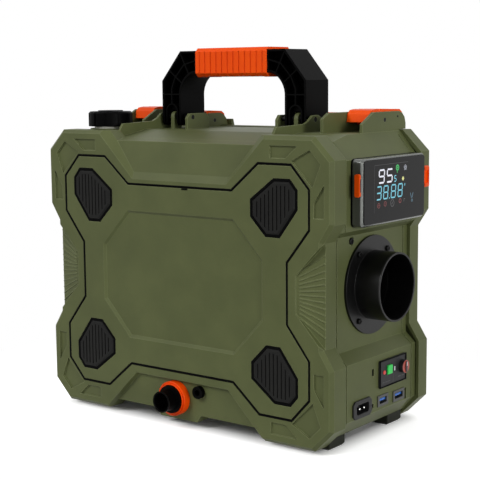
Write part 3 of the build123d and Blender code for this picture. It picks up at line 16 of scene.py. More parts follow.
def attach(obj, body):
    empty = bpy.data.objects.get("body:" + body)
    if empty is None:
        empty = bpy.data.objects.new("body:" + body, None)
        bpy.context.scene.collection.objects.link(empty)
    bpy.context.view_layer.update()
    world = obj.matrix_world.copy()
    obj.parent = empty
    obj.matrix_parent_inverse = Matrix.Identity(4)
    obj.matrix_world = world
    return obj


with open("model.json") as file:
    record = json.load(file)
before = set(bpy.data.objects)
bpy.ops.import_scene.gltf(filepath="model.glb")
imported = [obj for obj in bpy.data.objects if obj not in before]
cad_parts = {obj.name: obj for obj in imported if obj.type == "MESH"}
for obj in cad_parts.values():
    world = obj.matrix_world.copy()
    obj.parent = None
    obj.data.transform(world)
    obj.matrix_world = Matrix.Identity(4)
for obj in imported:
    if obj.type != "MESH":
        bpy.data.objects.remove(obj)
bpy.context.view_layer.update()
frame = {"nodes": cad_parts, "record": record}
nodes = frame["nodes"]

# %% [markdown]
# ## One way of giving places
# The case was drawn about its own middle, in millimetres, and the part's frame starts under the
# middle of its whole box. Every number could be turned by hand, but then none could be checked
# with a ruler. One small function does it instead, so that what is below reads as on the real case.

# %% Millimetres on the case to metres in the frame
SHIFT_X = -8.0                  # the duct collar reaches past the right end of the case
SHIFT_Y = 10.5                  # and the exhaust stub past its front


def at(x, y, z):
    """A point of the case, in millimetres from its middle and the floor, in the frame's metres."""
    return Vector(((x + SHIFT_X) / 1000, (y + SHIFT_Y) / 1000, z / 1000))


def mm(length):
    """A length in millimetres, in metres."""
    return length / 1000


print("the case stands round", tuple(round(v, 4) for v in at(0, 0, 0)))

# %% [markdown]
# ## Camera
# The photograph looks at a corner of the case from slightly above, through a long lens. A camera
# could be aimed with a tracking constraint, but its roll is then hard to set. Turning it about the
# vertical, tilting it down and rolling it by half a degree is three plain rotations.

# %% Camera at the photograph's place
TURN, TILT, ROLL = (math.radians(angle) for angle in (37.783, 7.728, -0.501))
CAMERA_PLACE = (0.87194, -1.11364, 0.39937)
LENS, SENSOR = 90.96, 36.0      # millimetres
bpy.ops.object.camera_add()
camera = bpy.context.object
camera.data.lens = LENS
camera.data.sensor_width = SENSOR
camera.data.clip_end = 50.0
camera.matrix_world = (
    Matrix.Translation(CAMERA_PLACE)
    @ Matrix.Rotation(TURN, 4, "Z")
    @ Matrix.Rotation(math.pi / 2 - TILT, 4, "X")
    @ Matrix.Rotation(ROLL, 4, "Z")
)
bpy.context.scene.camera = camera
print("camera is", round(camera.location.length, 3), "m from the origin")

# %% [markdown]
# ## Colours and nodes
# Colours are written as the hex values that a picture editor shows. Blender's shaders want linear
# light, so one function converts them. Another adds one shader node and sets what it is given,
# which keeps each material as short as a recipe.

# %% Colour and node helpers


def linear(hex_code, alpha=1.0):
    """An sRGB hex colour as linear red, green, blue and alpha."""
    values = [int(hex_code[i:i + 2], 16) / 255 for i in (1, 3, 5)]
    light = tuple(v / 12.92 if v <= 0.04045 else ((v + 0.055) / 1.055) ** 2.4 for v in values)
    return light + (alpha,)


def add(tree, kind, sockets=None, **settings):
    """Adds a node of a kind. A socket's value is a plain value, or another node's output to link."""
    made = tree.nodes.new("ShaderNode" + kind)
    for name, value in settings.items():
        setattr(made, name, value)
    for name, value in (sockets or {}).items():
        if isinstance(value, bpy.types.NodeSocket):
            tree.links.new(value, made.inputs[name])
        else:
            made.inputs[name].default_value = value
    return made


def new_material(name):
    """An empty node material with its output, returned as (material, tree, output)."""
    made = bpy.data.materials.new(name)
    made.use_nodes = True
    made.node_tree.nodes.clear()
    return made, made.node_tree, add(made.node_tree, "OutputMaterial")


print("mid grey in linear light:", round(linear("#808080")[0], 3))

# %% [markdown]
# ## White room
# The photograph was taken against seamless white. A bright world would give that white, but it
# would also wash out the black plastic. Light Path tells the rays apart: what the camera sees,
# directly, through glass or mirrored in a surface, is white, and what lights the object is dim.

# %% World
FILL_LIGHT = 0.27               # strength of the room as a light; its white is 1


def looking_rays(tree):
    """One for a camera ray, a transmitted or a mirrored one, and zero for a ray that lights."""
    ray = add(tree, "LightPath")
    straight = add(tree, "Math", {
        0: ray.outputs["Is Camera Ray"], 1: ray.outputs["Is Transmission Ray"]}, operation="MAXIMUM")
    both = add(tree, "Math", {
        0: straight.outputs[0], 1: ray.outputs["Is Glossy Ray"]}, operation="MAXIMUM")
    return both.outputs[0]


world = bpy.data.worlds.new("studio")
bpy.context.scene.world = world
world.use_nodes = True
room = world.node_tree
room.nodes.clear()
strength = add(room, "MapRange", {"Value": looking_rays(room), "To Min": FILL_LIGHT, "To Max": 1.0})
white = add(room, "Background", {"Color": linear("#ffffff"), "Strength": strength.outputs[0]})
add(room, "OutputWorld", {"Surface": white.outputs[0]})
bpy.context.scene.view_settings.view_transform = "Standard"
print("room:", len(room.nodes), "nodes")

# %% [markdown]
# ## Lamps
# Two large soft lights stand on both sides of the corner that faces the camera, so both faces are
# lit alike and what looks down is dark. Area lamps would fall off across the case. A sun lights
# it evenly, and a wide disc makes its shadows as soft as those of a soft box.

# %% Suns with wide discs
LAMPS = (
    # name, turn round the case and height in degrees, strength, width of the disc in degrees
    ("soft_key", -24, 35, 1.62, 24),
    ("end_fill", 76, 8, 1.74, 26),
    ("low_front", 30, 10, 0.25, 16),
    ("back_rim", 200, 50, 0.28, 40),
)
for name, turn, height, power, disc in LAMPS:
    bpy.ops.object.light_add(type="SUN")
    lamp = bpy.context.object
    lamp.name = name
    lamp.data.energy = power
    lamp.data.angle = math.radians(disc)
    lamp.matrix_world = (
        Matrix.Rotation(math.radians(turn), 4, "Z") @ Matrix.Rotation(math.radians(90 - height), 4, "X")
    )
    print(name, "shines from", height, "degrees up with strength", power)

# %% [markdown]
# ## Floor
# The table is white paper. The camera sees it a little over-lit, as in the photograph, so that only deep
# shadow is left of it. So the paper glows by itself, and farther out it is plain white. Beside the case
# the glow lightens its real shadow, which is painted light, and under the case there is no glow, which
# is painted shade: together they leave a dark line of contact under the case that fades out within a
# hand's breadth. To the light it is grey, or it would brighten the underside.

# %% Distance from the case
# Inside this box the paper gets no glow: painted shade under the case, added to its real shadow.
UNDER_CASE = (mm(172), mm(80), 1.0)     # half the length and width that get no glow
bpy.ops.mesh.primitive_plane_add(size=12.0, location=(0, 0, 0))
floor = bpy.context.object
floor.name = "floor"
paper, tree, out = new_material("white_paper_table")
floor.data.materials.append(paper)
place = add(tree, "TexCoord")
from_middle = add(tree, "VectorMath", {0: place.outputs["Object"], 1: at(0, 0, 0)}, operation="SUBTRACT")
either_side = add(tree, "VectorMath", {0: from_middle.outputs[0]}, operation="ABSOLUTE")
beyond = add(tree, "VectorMath", {0: either_side.outputs[0], 1: UNDER_CASE}, operation="SUBTRACT")
outside = add(tree, "VectorMath", {0: beyond.outputs[0], 1: (0.0, 0.0, 0.0)}, operation="MAXIMUM")
away = add(tree, "VectorMath", {0: outside.outputs[0]}, operation="LENGTH")
print("floor:", floor.dimensions.x, "m wide")

# %% Glowing paper
# The glow lightens the real shadow beside the case, which is painted light, and stays off under it,
# which is painted shade.
GLOW_FULL = mm(30)              # the glow beside the case is full at this distance
GLOW = 0.72
PLAIN_FROM, PLAIN_TO = mm(100), mm(300)
matt = add(tree, "BsdfDiffuse", {"Color": linear("#fafafa")})
over_lit = add(tree, "MapRange", {"Value": away.outputs["Value"], "From Max": GLOW_FULL, "To Max": GLOW})
lift = add(tree, "Emission", {"Color": linear("#ffffff"), "Strength": over_lit.outputs[0]})
near = add(tree, "AddShader", {0: matt.outputs[0], 1: lift.outputs[0]})
plain_white = add(tree, "Emission", {"Color": linear("#ffffff"), "Strength": 1.0})
far = add(tree, "MapRange", {
    "Value": away.outputs["Value"], "From Min": PLAIN_FROM, "From Max": PLAIN_TO})
looked_at = add(tree, "MixShader", {0: far.outputs[0], 1: near.outputs[0], 2: plain_white.outputs[0]})
for_light = add(tree, "BsdfDiffuse", {"Color": linear("#8c8c8c")})
table = add(tree, "MixShader", {0: looking_rays(tree), 1: for_light.outputs[0], 2: looked_at.outputs[0]})
tree.links.new(table.outputs[0], out.inputs["Surface"])
print("paper:", len(tree.nodes), "nodes")

# %% [markdown]
# ## What moulded and cast surfaces share
# A moulding takes the skin of its steel tool, which is spark-eroded, so it is covered with grains
# of a few tenths of a millimetre that scatter the light. Large soft patches of colour and
# roughness keep it from looking like one flat paint, and its edges are never sharp. Painting that
# by hand would need an image, so it is built from noise, and a Bevel node rounds the edges.

# %% Paler edges: a painted highlight along them, and wear where hands and shelves rub
UNBENT, BENT = 0.99, 0.85       # how far the rounded normal agrees with the flat one
MOST_WEAR_AND_HIGHLIGHT = 0.5
MIXED_COLOUR = 2                # the place of the colour among a Mix node's outputs


def edges_worn_and_highlit(tree, colour, round_edge, wear_and_highlight_colour):
    """Mixes a paler colour in where the rounded edge bends away from the face: painted highlight and
    wear.
    """
    flat = add(tree, "NewGeometry")
    agree = add(tree, "VectorMath", {
        0: round_edge.outputs[0], 1: flat.outputs["Normal"]}, operation="DOT_PRODUCT")
    rub_and_highlight = add(tree, "MapRange", {
        "Value": agree.outputs["Value"],
        "From Min": UNBENT, "From Max": BENT, "To Min": 0.0, "To Max": MOST_WEAR_AND_HIGHLIGHT})
    mixed = add(tree, "Mix", {
        "Factor": rub_and_highlight.outputs[0], "A": colour, "B": linear(wear_and_highlight_colour)}, data_type="RGBA")
    return mixed.outputs[MIXED_COLOUR]


# The paler edge is a painted highlight as well as wear.
print("wear starts where an edge bends", round(math.degrees(math.acos(UNBENT))), "degrees")

# %% A moulded, cast or turned surface
GRAIN = 1.1                     # millimetres; the real one is about 0.3 and wouldn't show
PATCH = 45.0                    # millimetres across a soft patch of colour
FINE_SHARE = 0.25               # share of the grain in the tone
ROUGHNESS_SPREAD = 0.06
NOISE_LOW, NOISE_HIGH = 0.36, 0.64      # nearly all values of the mixed noise lie between these


def surface(name, low, high, roughness, grain=GRAIN, height=0.02, edge=0.6, wear_and_highlight_colour="", **shader):
    """Patches of two near tones, grains of a height in mm, rounded edges and perhaps paler edges of
    painted highlight and wear.
    """
    made, tree, out = new_material(name)
    place = add(tree, "TexCoord")
    fine = add(tree, "TexNoise", {
        "Vector": place.outputs["Object"], "Scale": 1000 / grain, "Detail": 2.0})
    wide = add(tree, "TexNoise", {
        "Vector": place.outputs["Object"], "Scale": 1000 / PATCH, "Detail": 3.0})
    both = add(tree, "Mix", {
        "Factor": FINE_SHARE, "A": wide.outputs["Fac"], "B": fine.outputs["Fac"]})
    spread = add(tree, "MapRange", {
        "Value": both.outputs[0], "From Min": NOISE_LOW, "From Max": NOISE_HIGH})
    tone = add(tree, "Mix", {
        "Factor": spread.outputs[0], "A": linear(low), "B": linear(high)}, data_type="RGBA")
    rough = add(tree, "MapRange", {
        "Value": both.outputs[0],
        "To Min": roughness - ROUGHNESS_SPREAD, "To Max": roughness + ROUGHNESS_SPREAD})
    round_edge = add(tree, "Bevel", {"Radius": mm(edge)}, samples=6)
    bump = add(tree, "Bump", {
        "Height": fine.outputs["Fac"], "Normal": round_edge.outputs[0],
        "Strength": 0.6, "Distance": mm(height)})
    colour = tone.outputs[MIXED_COLOUR]
    if wear_and_highlight_colour:
        colour = edges_worn_and_highlit(tree, colour, round_edge, wear_and_highlight_colour)
    bsdf = add(tree, "BsdfPrincipled", {
        "Base Color": colour, "Roughness": rough.outputs[0], "Normal": bump.outputs[0]})
    for socket, value in shader.items():
        bsdf.inputs[socket.replace("_", " ")].default_value = value
    tree.links.new(bsdf.outputs[0], out.inputs["Surface"])
    return made


finishes = {}
print("a grain is drawn", round(GRAIN / 0.3, 1), "times as coarse as the real one")

# %% [markdown]
# ## Plastics
# The case, the handle and the levers are injection moulded. Filled plastics are dull, because
# their skin is full of fine pits: their typical roughness is kept and their specular level is
# turned down until it matches the photograph.

# %% Olive casing, black and orange plastic
DULL = {"Specular_IOR_Level": 0.2}
DEEP = {"Specular_IOR_Level": 0.14}
NO_SHINE = {"Specular_IOR_Level": 0.03}
# talc-filled polypropylene, moulded: a dry, low sheen, paler along the edges by a painted highlight and
# a little rubbing
finishes["green_casing"] = surface(
    "olive_moulded_polypropylene", "#4f5533", "#575d39", 0.5, edge=1.0, wear_and_highlight_colour="#98a074", **DULL)
# glass-filled nylon, moulded: a deep black in which form shows only by its edges
finishes["black_plastic"] = surface("black_glass_filled_nylon", "#010101", "#050505", 0.42, **NO_SHINE)
# plain nylon, moulded in a finer tool: a clean, even orange with a soft sheen
finishes["orange_plastic"] = surface(
    "orange_moulded_nylon", "#f04c00", "#f85800", 0.42, height=0.012, edge=0.8, **DEEP)
# acetal, moulded with a fine skin: a near black that is a little greyer than the nylon round it
finishes["port_grey"] = surface("grey_socket_frame", "#2a2b2a", "#343533", 0.4, edge=0.4)
# acrylic over a lamp, moulded: a bright, glossy green
finishes["button_green"] = surface(
    "green_lit_button", "#14c440", "#22d858", 0.3, height=0.004, edge=0.8)
# phenolic, turned on a lathe: black with a narrow gleam along its edge
finishes["knob_black"] = surface("black_turned_knob", "#101011", "#18181a", 0.35, edge=0.6)
# polyethylene, blow moulded without dye: milky white and waxy
finishes["tank_plastic"] = surface("natural_polyethylene", "#d9d8cc", "#e4e3d8", 0.5)
print("plastics:", len(finishes))

# %% [markdown]
# ## Rubbers
# Pads, grip, gasket, seals and hoses are moulded or extruded rubber. It is softer than the
# plastic beside it, which shows as a rougher skin and as rounder edges.

# %% Black and orange rubber
# nitrile rubber, moulded: nearly black, as if dusty, with almost no shine
finishes["black_pad"] = surface(
    "black_moulded_rubber", "#0b0b0a", "#141412", 0.55, height=0.03, **DEEP)
# thermoplastic rubber over the handle's bar: a warm, matt orange
finishes["orange_grip"] = surface(
    "orange_soft_rubber", "#ee4a00", "#f75400", 0.55, height=0.03, edge=0.9, **DEEP)
# silicone, moulded in a polished tool: smooth, with round edges
finishes["orange_seal"] = surface(
    "orange_silicone_rubber", "#e84400", "#f04e04", 0.4, height=0.008, edge=1.2, **DEEP)
# extruded rubber of the hoses: matt black; on the levers the same black is a strip of painted shade in
# each groove
finishes["hose_black"] = surface("black_hose_rubber", "#0c0c0c", "#131313", 0.6, **DEEP)
# a black that swallows the light, laid deep in a seam: painted shade of the gap
finishes["seal_black"] = surface("black_painted_gap_shade", "#020202", "#050505", 0.6, **NO_SHINE)
print("plastics and rubbers:", len(finishes))

# %% [markdown]
# ## Metals, window and boards
# Turned and cast metal is seen at the pins and inside. Its colour comes from the metal itself, so
# it is fully or mostly metallic with the default IOR. The display has a lacquered bezel and a
# smoked window, whose gloss is what sets it apart from the moulded plastic.

# %% Metals
# steel, turned: grey and bright, its tooling too fine to see
finishes["steel"] = surface("turned_steel", "#9a9b9d", "#b4b5b7", 0.3, height=0.005, Metallic=1.0)
# aluminium, sand cast and sooty: rough and dark
finishes["cast_aluminium"] = surface(
    "sand_cast_aluminium", "#2c2c2c", "#3a3a3a", 0.6, grain=2.0, height=0.1, Metallic=0.8)
# sheet steel, zinc plated: an even, cool grey
finishes["supply_case"] = surface("zinc_plated_sheet", "#8b8c8e", "#9b9c9e", 0.4, Metallic=1.0)
# steel with a black oxide skin: it looks like black plastic with a little more gleam
finishes["black_screw"] = surface("black_oxide_steel", "#030303", "#070707", 0.5, **DEEP)
# plastic under metallic lacquer, sprayed: it mirrors the room softly, like chrome that went dull
finishes["grey_bezel"] = surface(
    "grey_metallic_lacquer", "#646663", "#747673", 0.22, height=0.004, edge=1.4, Metallic=0.7)
print("finishes:", len(finishes))

# %% Window and boards
# polycarbonate, smoked and polished: nearly black, with a grey bloom of the mirrored room
finishes["dark_glass"] = surface(
    "smoked_display_window", "#0e0e0f", "#111112", 0.14, height=0.0005, edge=0.4, **DEEP)
# glass-epoxy board under printed solder mask: a dark, glossy green
finishes["board_green"] = surface("solder_mask_on_board", "#12462c", "#17523a", 0.35)
print("finishes:", len(finishes))

# %% [markdown]
# ## Who wears what
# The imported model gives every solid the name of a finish. A few solids share a plain name with
# others but are made in another way, so they get a finish of their own, and the rest follow the
# record in one loop.

# %% Finishes on the solids
own_finish = {
    # nylon from a polished tool: its flange mirrors the table at its foot
    "duct_collar": surface(
        "black_polished_nylon", "#010101", "#040404", 0.36, height=0.004, edge=0.8,
        Specular_IOR_Level=0.28),
    # sheet steel under stove enamel: black right into the duct
    "outlet_hood": surface(
        "black_enamelled_steel", "#050505", "#0b0b0b", 0.45, height=0.006, edge=1.0, **NO_SHINE),
    # nylon for hot gas: black, with a faint line of light at its edge
    "exhaust_stub": surface(
        "black_heat_proof_nylon", "#010101", "#040404", 0.5, height=0.006, edge=0.5, **NO_SHINE),
    # thermoset, pressed: charcoal, dry and hard
    "mains_inlet": surface("black_thermoset", "#191919", "#222222", 0.42, edge=1.0, **DULL),
    # filled plastic, moulded with a fine skin: charcoal, so that its dark frame stands out
    "switch_panel": surface("charcoal_moulded_panel", "#1c1c1d", "#252526", 0.48, edge=0.6, **DULL),
    # These pins get black oxide, which also paints the shade of the holes they sit in.
    "latch_pins": finishes["black_screw"],
    "handle_pins": finishes["black_screw"],
}
# natural rubber, moulded: a dark green-black, matt and round at the edges
foot_rubber = surface("dark_moulded_rubber", "#14150e", "#1c1e14", 0.6, edge=2.0, **DEEP)
own_finish.update({name: foot_rubber for name in nodes if name.startswith("foot_")})
for sub_part in frame["record"]["subparts"]:
    solid = nodes[sub_part["node"]]
    finish = own_finish.get(sub_part["node"], finishes[sub_part["material_slot"]])
    if not solid.material_slots:
        solid.data.materials.append(finish)
    for material_slot in solid.material_slots:
        material_slot.material = finish
print("solids with a finish of their own:", len(own_finish))

# %% [markdown]
# ## Shaping as by hand
# Everything below is modelled as by hand: a primitive is put at its place, its faces or edges are
# picked by where they are, and one operator at a time shapes it. A mesh could be written out
# point by point instead, but an operator says what was done. An operator acts on all that is
# selected, so everything else is deselected first.

# %% Picking and editing


def only(piece):
    """Selects one object and nothing else."""
    bpy.ops.object.select_all(action="DESELECT")
    piece.select_set(True)
    bpy.context.view_layer.objects.active = piece


@contextmanager
def editing(piece, keep=None, kind="FACE"):
    """Edit mode on a piece, with the faces or edges selected for which keep() is true, or all."""
    only(piece)
    bpy.ops.object.mode_set(mode="EDIT")
    bpy.ops.mesh.select_mode(type=kind)
    bpy.ops.mesh.select_all(action="DESELECT" if keep else "SELECT")
    if keep:
        mesh = bmesh.from_edit_mesh(piece.data)
        for element in mesh.faces if kind == "FACE" else mesh.edges:
            if keep(element):
                element.select_set(True)
        bmesh.update_edit_mesh(piece.data)
    yield
    bpy.ops.object.mode_set(mode="OBJECT")


def many_sided(face):
    """Whether a face has more than four corners, as the end of a round bar has."""
    return len(face.verts) > 4


def looks_along_x(face):
    """Whether a face looks to the right or to the left end of the case."""
    return abs(face.normal.x) > 0.9


def runs_along_x(edge):
    """Whether an edge runs from the left to the right end of the case."""
    run = edge.verts[1].co - edge.verts[0].co
    return abs(run.x) > 0.9 * run.length


# %% [markdown]
# ## Finishing a piece
# Modifiers round the edges and give sheets a thickness, and each is applied at once. At the end a
# piece gets its finish, its place moves into its mesh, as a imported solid's does, and it is tied to
# the body that carries it, so that it moves along with a lever or the display.

# %% Modifiers, copies and the last steps
SHARP = math.radians(30)        # edges that bend more than this are rounded
SMOOTH = math.radians(40)       # faces that meet at less than this are shaded as one


def modify(piece, kind, **settings):
    """Adds a modifier with its settings and applies it."""
    only(piece)
    made = piece.modifiers.new(kind.lower(), kind)
    for name, value in settings.items():
        setattr(made, name, value)
    bpy.ops.object.modifier_apply(modifier=made.name)


def round_off(piece, width, segments=3):
    """Rounds the sharp edges of a piece and shades it smooth between the rest."""
    modify(piece, "BEVEL", width=mm(width), segments=segments, limit_method="ANGLE", angle_limit=SHARP)
    bpy.ops.object.shade_smooth_by_angle(angle=SMOOTH)


def settle(piece):
    """Moves a piece's place, turn and size into its mesh."""
    only(piece)
    bpy.ops.object.transform_apply(location=True, rotation=True, scale=True)


def copy_to(piece, matrix):
    """A copy of a piece, with its own mesh, moved by a matrix."""
    twin = piece.copy()
    twin.data = piece.data.copy()
    bpy.context.collection.objects.link(twin)
    twin.matrix_world = matrix @ piece.matrix_world
    return twin


def join(pieces):
    """Joins pieces into the first."""
    only(pieces[0])
    for piece in pieces:
        piece.select_set(True)
    bpy.ops.object.join()
    return bpy.context.object


def finish_piece(piece, name, finish, body="casing"):
    """Names and paints a piece, moves its place into its mesh and ties it to a body."""
    settle(piece)
    piece.name = name
    piece.data.name = name
    piece.data.materials.clear()
    piece.data.materials.append(finish)
    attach(piece, body)
    return piece


# %% [markdown]
# ## Blocks
# Many small fittings start as a block between two planes along each direction. A cube primitive
# is put in its middle and scaled, which is how a block is drawn by hand. It is only ever a start:
# its edges are rounded, its faces inset or its ends taken off.

# %% A block between planes


def block(x, y, z):
    """A block from a low to a high x, y and z, each a pair in millimetres on the case."""
    low, high = (at(*corner) for corner in zip(x, y, z))
    bpy.ops.mesh.primitive_cube_add(size=1.0, location=(low + high) / 2)
    piece = bpy.context.object
    piece.scale = high - low
    bpy.ops.object.transform_apply(location=False, rotation=False, scale=True)
    return piece


def around(middle, size):
    """The low and high end of a size round a middle."""
    return middle - size / 2, middle + size / 2


# %% [markdown]
# ## Painted shade in the seams
# A black loop lies in the seam round the front cover, and one round each bumper pad: dark sheets that
# paint the shade of the gaps. All five are closed loops with many corners. A curve with thickness could
# draw them, but its corners would pinch. So each outline is drawn corner by corner and filled, its face
# is inset, the middle is taken out, and the rim gets its depth and its lip.

# %% Outlines
COVER_FACE_Y = -101.5
MIDDLE_Z = 171.0


def grown(points, by):
    """A closed outline, grown outward by a distance, corner by corner."""
    result = []
    for before, here, after in zip(points[-1:] + points[:-1], points, points[1:] + points[:1]):
        first = (Vector(here) - Vector(before)).normalized()
        second = (Vector(after) - Vector(here)).normalized()
        out_first, out_second = Vector((first.y, -first.x)), Vector((second.y, -second.x))
        step = (out_first + out_second) * by / (1 + out_first.dot(out_second))
        result.append(tuple(Vector(here) + step))
    return result


def drawn(corners):
    """A flat face, drawn by extruding one point from corner to corner and filling the outline."""
    bpy.ops.mesh.primitive_plane_add(size=mm(1.0), location=corners[0])
    piece = bpy.context.object
    with editing(piece, kind="VERT"):
        bpy.ops.mesh.merge(type="CENTER")
        for here, there in zip(corners, corners[1:]):
            bpy.ops.mesh.extrude_region_move(TRANSFORM_OT_translate={"value": there - here})
        bpy.ops.mesh.select_all(action="SELECT")
        bpy.ops.mesh.edge_face_add()
    return piece


print("a square of 2, grown by 1:", grown([(0, 0), (2, 0), (2, 2), (0, 2)], 1.0))

# %% A closed black loop on the front, painting the shade of a gap
LOOP_DEPTH = 2.4


def painted_shade_loop(name, points, inner, outer, proud):
    """A black loop of painted shade between two offsets of an outline (x, z from the middle,
    counter-clockwise).
    """
    middle_y = COVER_FACE_Y - proud + LOOP_DEPTH / 2
    loop = drawn([at(x, middle_y, z + MIDDLE_Z) for x, z in grown(points, outer)])
    with editing(loop):
        bpy.ops.mesh.inset(thickness=mm(outer - inner))
    with editing(loop, many_sided):
        bpy.ops.mesh.delete(type="FACE")
    modify(loop, "SOLIDIFY", thickness=mm(LOOP_DEPTH), offset=0.0)
    with editing(loop):
        bpy.ops.mesh.normals_make_consistent(inside=False)
    round_off(loop, 0.3, 2)
    print(name, "has", len(loop.data.polygons), "faces")
    return finish_piece(loop, name, finishes["seal_black"])


# %% The seam of the cover, its gap painted in shade
SEAM_CORNER = [
    (148.0, 33.5), (176.3, 69.5), (176.3, 111.0), (154.0, 135.5), (112.0, 135.5), (76.0, 105.0),
]
upper_half = SEAM_CORNER + [(-x, z) for x, z in reversed(SEAM_CORNER)]
whole_seam = upper_half + [(-x, -z) for x, z in upper_half]
painted_shade_loop("seam_gap_shade", whole_seam, -0.4, 2.3, 0.2)

# %% The frames of the pads, painted shade of the gaps round them
PAD_CORNER = [
    (122.0, 60.5), (139.0, 60.5), (161.0, 90.0), (161.0, 109.5),
    (152.5, 119.5), (132.5, 119.5), (103.0, 97.0), (103.0, 80.0),
]
for side, hand in ((1, "right"), (-1, "left")):
    for rise, level in ((1, "upper"), (-1, "lower")):
        points = [(side * x, rise * z) for x, z in PAD_CORNER]
        if side * rise < 0:
            points.reverse()
        painted_shade_loop("pad_gap_shade_%s_%s" % (level, hand), points, -1.3, 2.15, 0.12)

# %% [markdown]
# ## Slot for lifting the cover
# At the top of the seam a flat tool lifts the cover out, and from outside the slot is a short dark mark.
# Cutting the cover would change a imported solid, so a black block of the same finish, with rounded
# edges, is laid flush into its face: painted shade of the slot.

# %% Slot at the top of the seam
slot_shade_block = block((5.0, 14.0), (COVER_FACE_Y - 0.3, COVER_FACE_Y + 0.9), (273.6, 275.4))
round_off(slot_shade_block, 0.3, 2)
finish_piece(slot_shade_block, "cover_pry_slot", finishes["seal_black"])
print("slot liner:", [round(side * 1000, 1) for side in slot_shade_block.dimensions], "mm")

# %% [markdown]
# ## Screws
# The round flange of the duct and the intake grille are each held by four pan-head screws with a
# cross recess, and one more sits in the dimple above the flange. One head starts as a cylinder
# with a rounded rim, and two bars cut the cross, which is sharper than any bump. The others are
# copies with their crosses turned, since no two screws stop at the same angle.

# %% One pan head
HEAD_RADIUS = 3.3
HEAD_HIGH = 2.2
CROSS = (4.2, 1.0, 2.2)         # length, width and twice the depth of one bar of the cross


def pan_head():
    """A screw head at the origin that looks along +x."""
    bpy.ops.mesh.primitive_cylinder_add(
        vertices=32, radius=mm(HEAD_RADIUS), depth=mm(HEAD_HIGH), location=(0, 0, mm(HEAD_HIGH / 2)))
    head = bpy.context.object
    settle(head)
    round_off(head, 1.1, 4)
    for turn in (0.0, math.pi / 2):
        bpy.ops.mesh.primitive_cube_add(size=1.0, location=(0, 0, mm(HEAD_HIGH)), rotation=(0, 0, turn))
        cutter = bpy.context.object
        cutter.scale = [mm(side) for side in CROSS]
        modify(head, "BOOLEAN", operation="DIFFERENCE", solver="EXACT", object=cutter)
        bpy.data.objects.remove(cutter)
    head.rotation_euler = (0, math.pi / 2, 0)
    settle(head)
    return head


head = pan_head()
print("pan head:", len(head.data.polygons), "faces")

# %% Copies at their places
DUCT_Y, DUCT_Z = 2.0, 171.0


def on_circle(radius, angle):
    """The y and z of a point on a circle round the duct."""
    angle = math.radians(angle)
    return DUCT_Y + radius * math.cos(angle), DUCT_Z + radius * math.sin(angle)


screws = []                     # name, place, turn round the vertical, twist of the cross in degrees
for index, angle in enumerate((51.6, 128.4, 231.6, 308.4)):
    place = at(191.5, *on_circle(46.7, angle))
    screws.append(("flange_screw_%d" % (index + 1), place, 0.0, 20 + 37 * index))
for index, angle in enumerate((45, 135, 225, 315)):
    place = at(-191.4, *on_circle(50.4, angle))
    screws.append(("grille_screw_%d" % (index + 1), place, math.pi, 11 + 29 * index))
screws.append(("panel_screw", at(187.1, -38.0, 223.0), 0.0, 15))
for name, place, turn, twist in screws:
    size = 1.15 if name == "panel_screw" else 1.0
    matrix = (
        Matrix.Translation(place) @ Matrix.Rotation(turn, 4, "Z")
        @ Matrix.Rotation(math.radians(twist), 4, "X") @ Matrix.Scale(size, 4)
    )
    finish_piece(copy_to(head, matrix), name, finishes["black_screw"])
bpy.data.objects.remove(head)
print("screws:", len(screws))

# %% [markdown]
# ## Light behind the window
# The window is dark, and behind it a segment display lights up. An image could carry the figures,
# but as shapes they stay sharp from any distance. They lie a tenth of a millimetre proud of the
# window, because seen from outside the print seems to float just under its face. The light behind
# a real segment is never quite even, so its strength wavers by a fifth.

# %% A print that gives light
SPOTS_PER_MM = 0.9
WAVER = 0.2


def lit(name, colour, power):
    """A coloured plastic film that glows, as with light behind it: it shows its colour also in the
    shade. On ink and paint with no lamp behind, the glow is painted light.
    """
    made, tree, out = new_material(name)
    place = add(tree, "TexCoord")
    spots = add(tree, "TexNoise", {
        "Vector": place.outputs["Object"], "Scale": 1000 * SPOTS_PER_MM, "Detail": 1.0})
    uneven = add(tree, "MapRange", {
        "Value": spots.outputs["Fac"], "To Min": power * (1 - WAVER), "To Max": power * (1 + WAVER)})
    film = add(tree, "BsdfPrincipled", {
        "Base Color": linear("#101012"), "Roughness": 0.4,
        "Emission Color": linear(colour), "Emission Strength": uneven.outputs[0]})
    tree.links.new(film.outputs[0], out.inputs["Surface"])
    return made


# white film over a bright lamp: the figures that are read first
white_light = lit("white_segment_light", "#f2f4ff", 0.9)
# pale blue film: as sharp, and a little calmer
blue_light = lit("pale_blue_segment_light", "#7fdcf2", 0.75)
print("lights:", white_light.name, "and", blue_light.name)

# %% [markdown]
# ## Bars and rings
# All figures and icons are made of two shapes. A bar is a thin block whose corners are bevelled by
# half its width, which gives it pointed ends. A ring is a flat disc whose two ends are inset and
# bridged, so it becomes a real hole with walls.

# %% Bar and ring
GLASS_X = 214.0
PRINT_THICK = 0.16


def bar(y, z, length, width, turn=0.0):
    """A flat bar with pointed ends on the window, centred on (y, z), level or turned."""
    piece = block(around(GLASS_X, PRINT_THICK), around(y, length), around(z, width))
    with editing(piece, runs_along_x, kind="EDGE"):
        bpy.ops.mesh.bevel(offset=mm(width / 2), segments=1, affect="EDGES")
        bpy.ops.mesh.select_all(action="SELECT")
        bpy.ops.mesh.remove_doubles(threshold=mm(0.01))
    piece.rotation_euler = (turn, 0, 0)
    settle(piece)
    return piece


def ring(y, z, radius, width, x=GLASS_X, corners=24):
    """A flat ring that looks along +x, on the window or at another x."""
    bpy.ops.mesh.primitive_cylinder_add(
        vertices=corners, radius=mm(radius), depth=mm(PRINT_THICK),
        rotation=(0, math.pi / 2, 0), location=at(x, y, z))
    piece = bpy.context.object
    with editing(piece, many_sided):
        bpy.ops.mesh.inset(thickness=mm(width), use_individual=True)
        bpy.ops.mesh.bridge_edge_loops()
    return piece


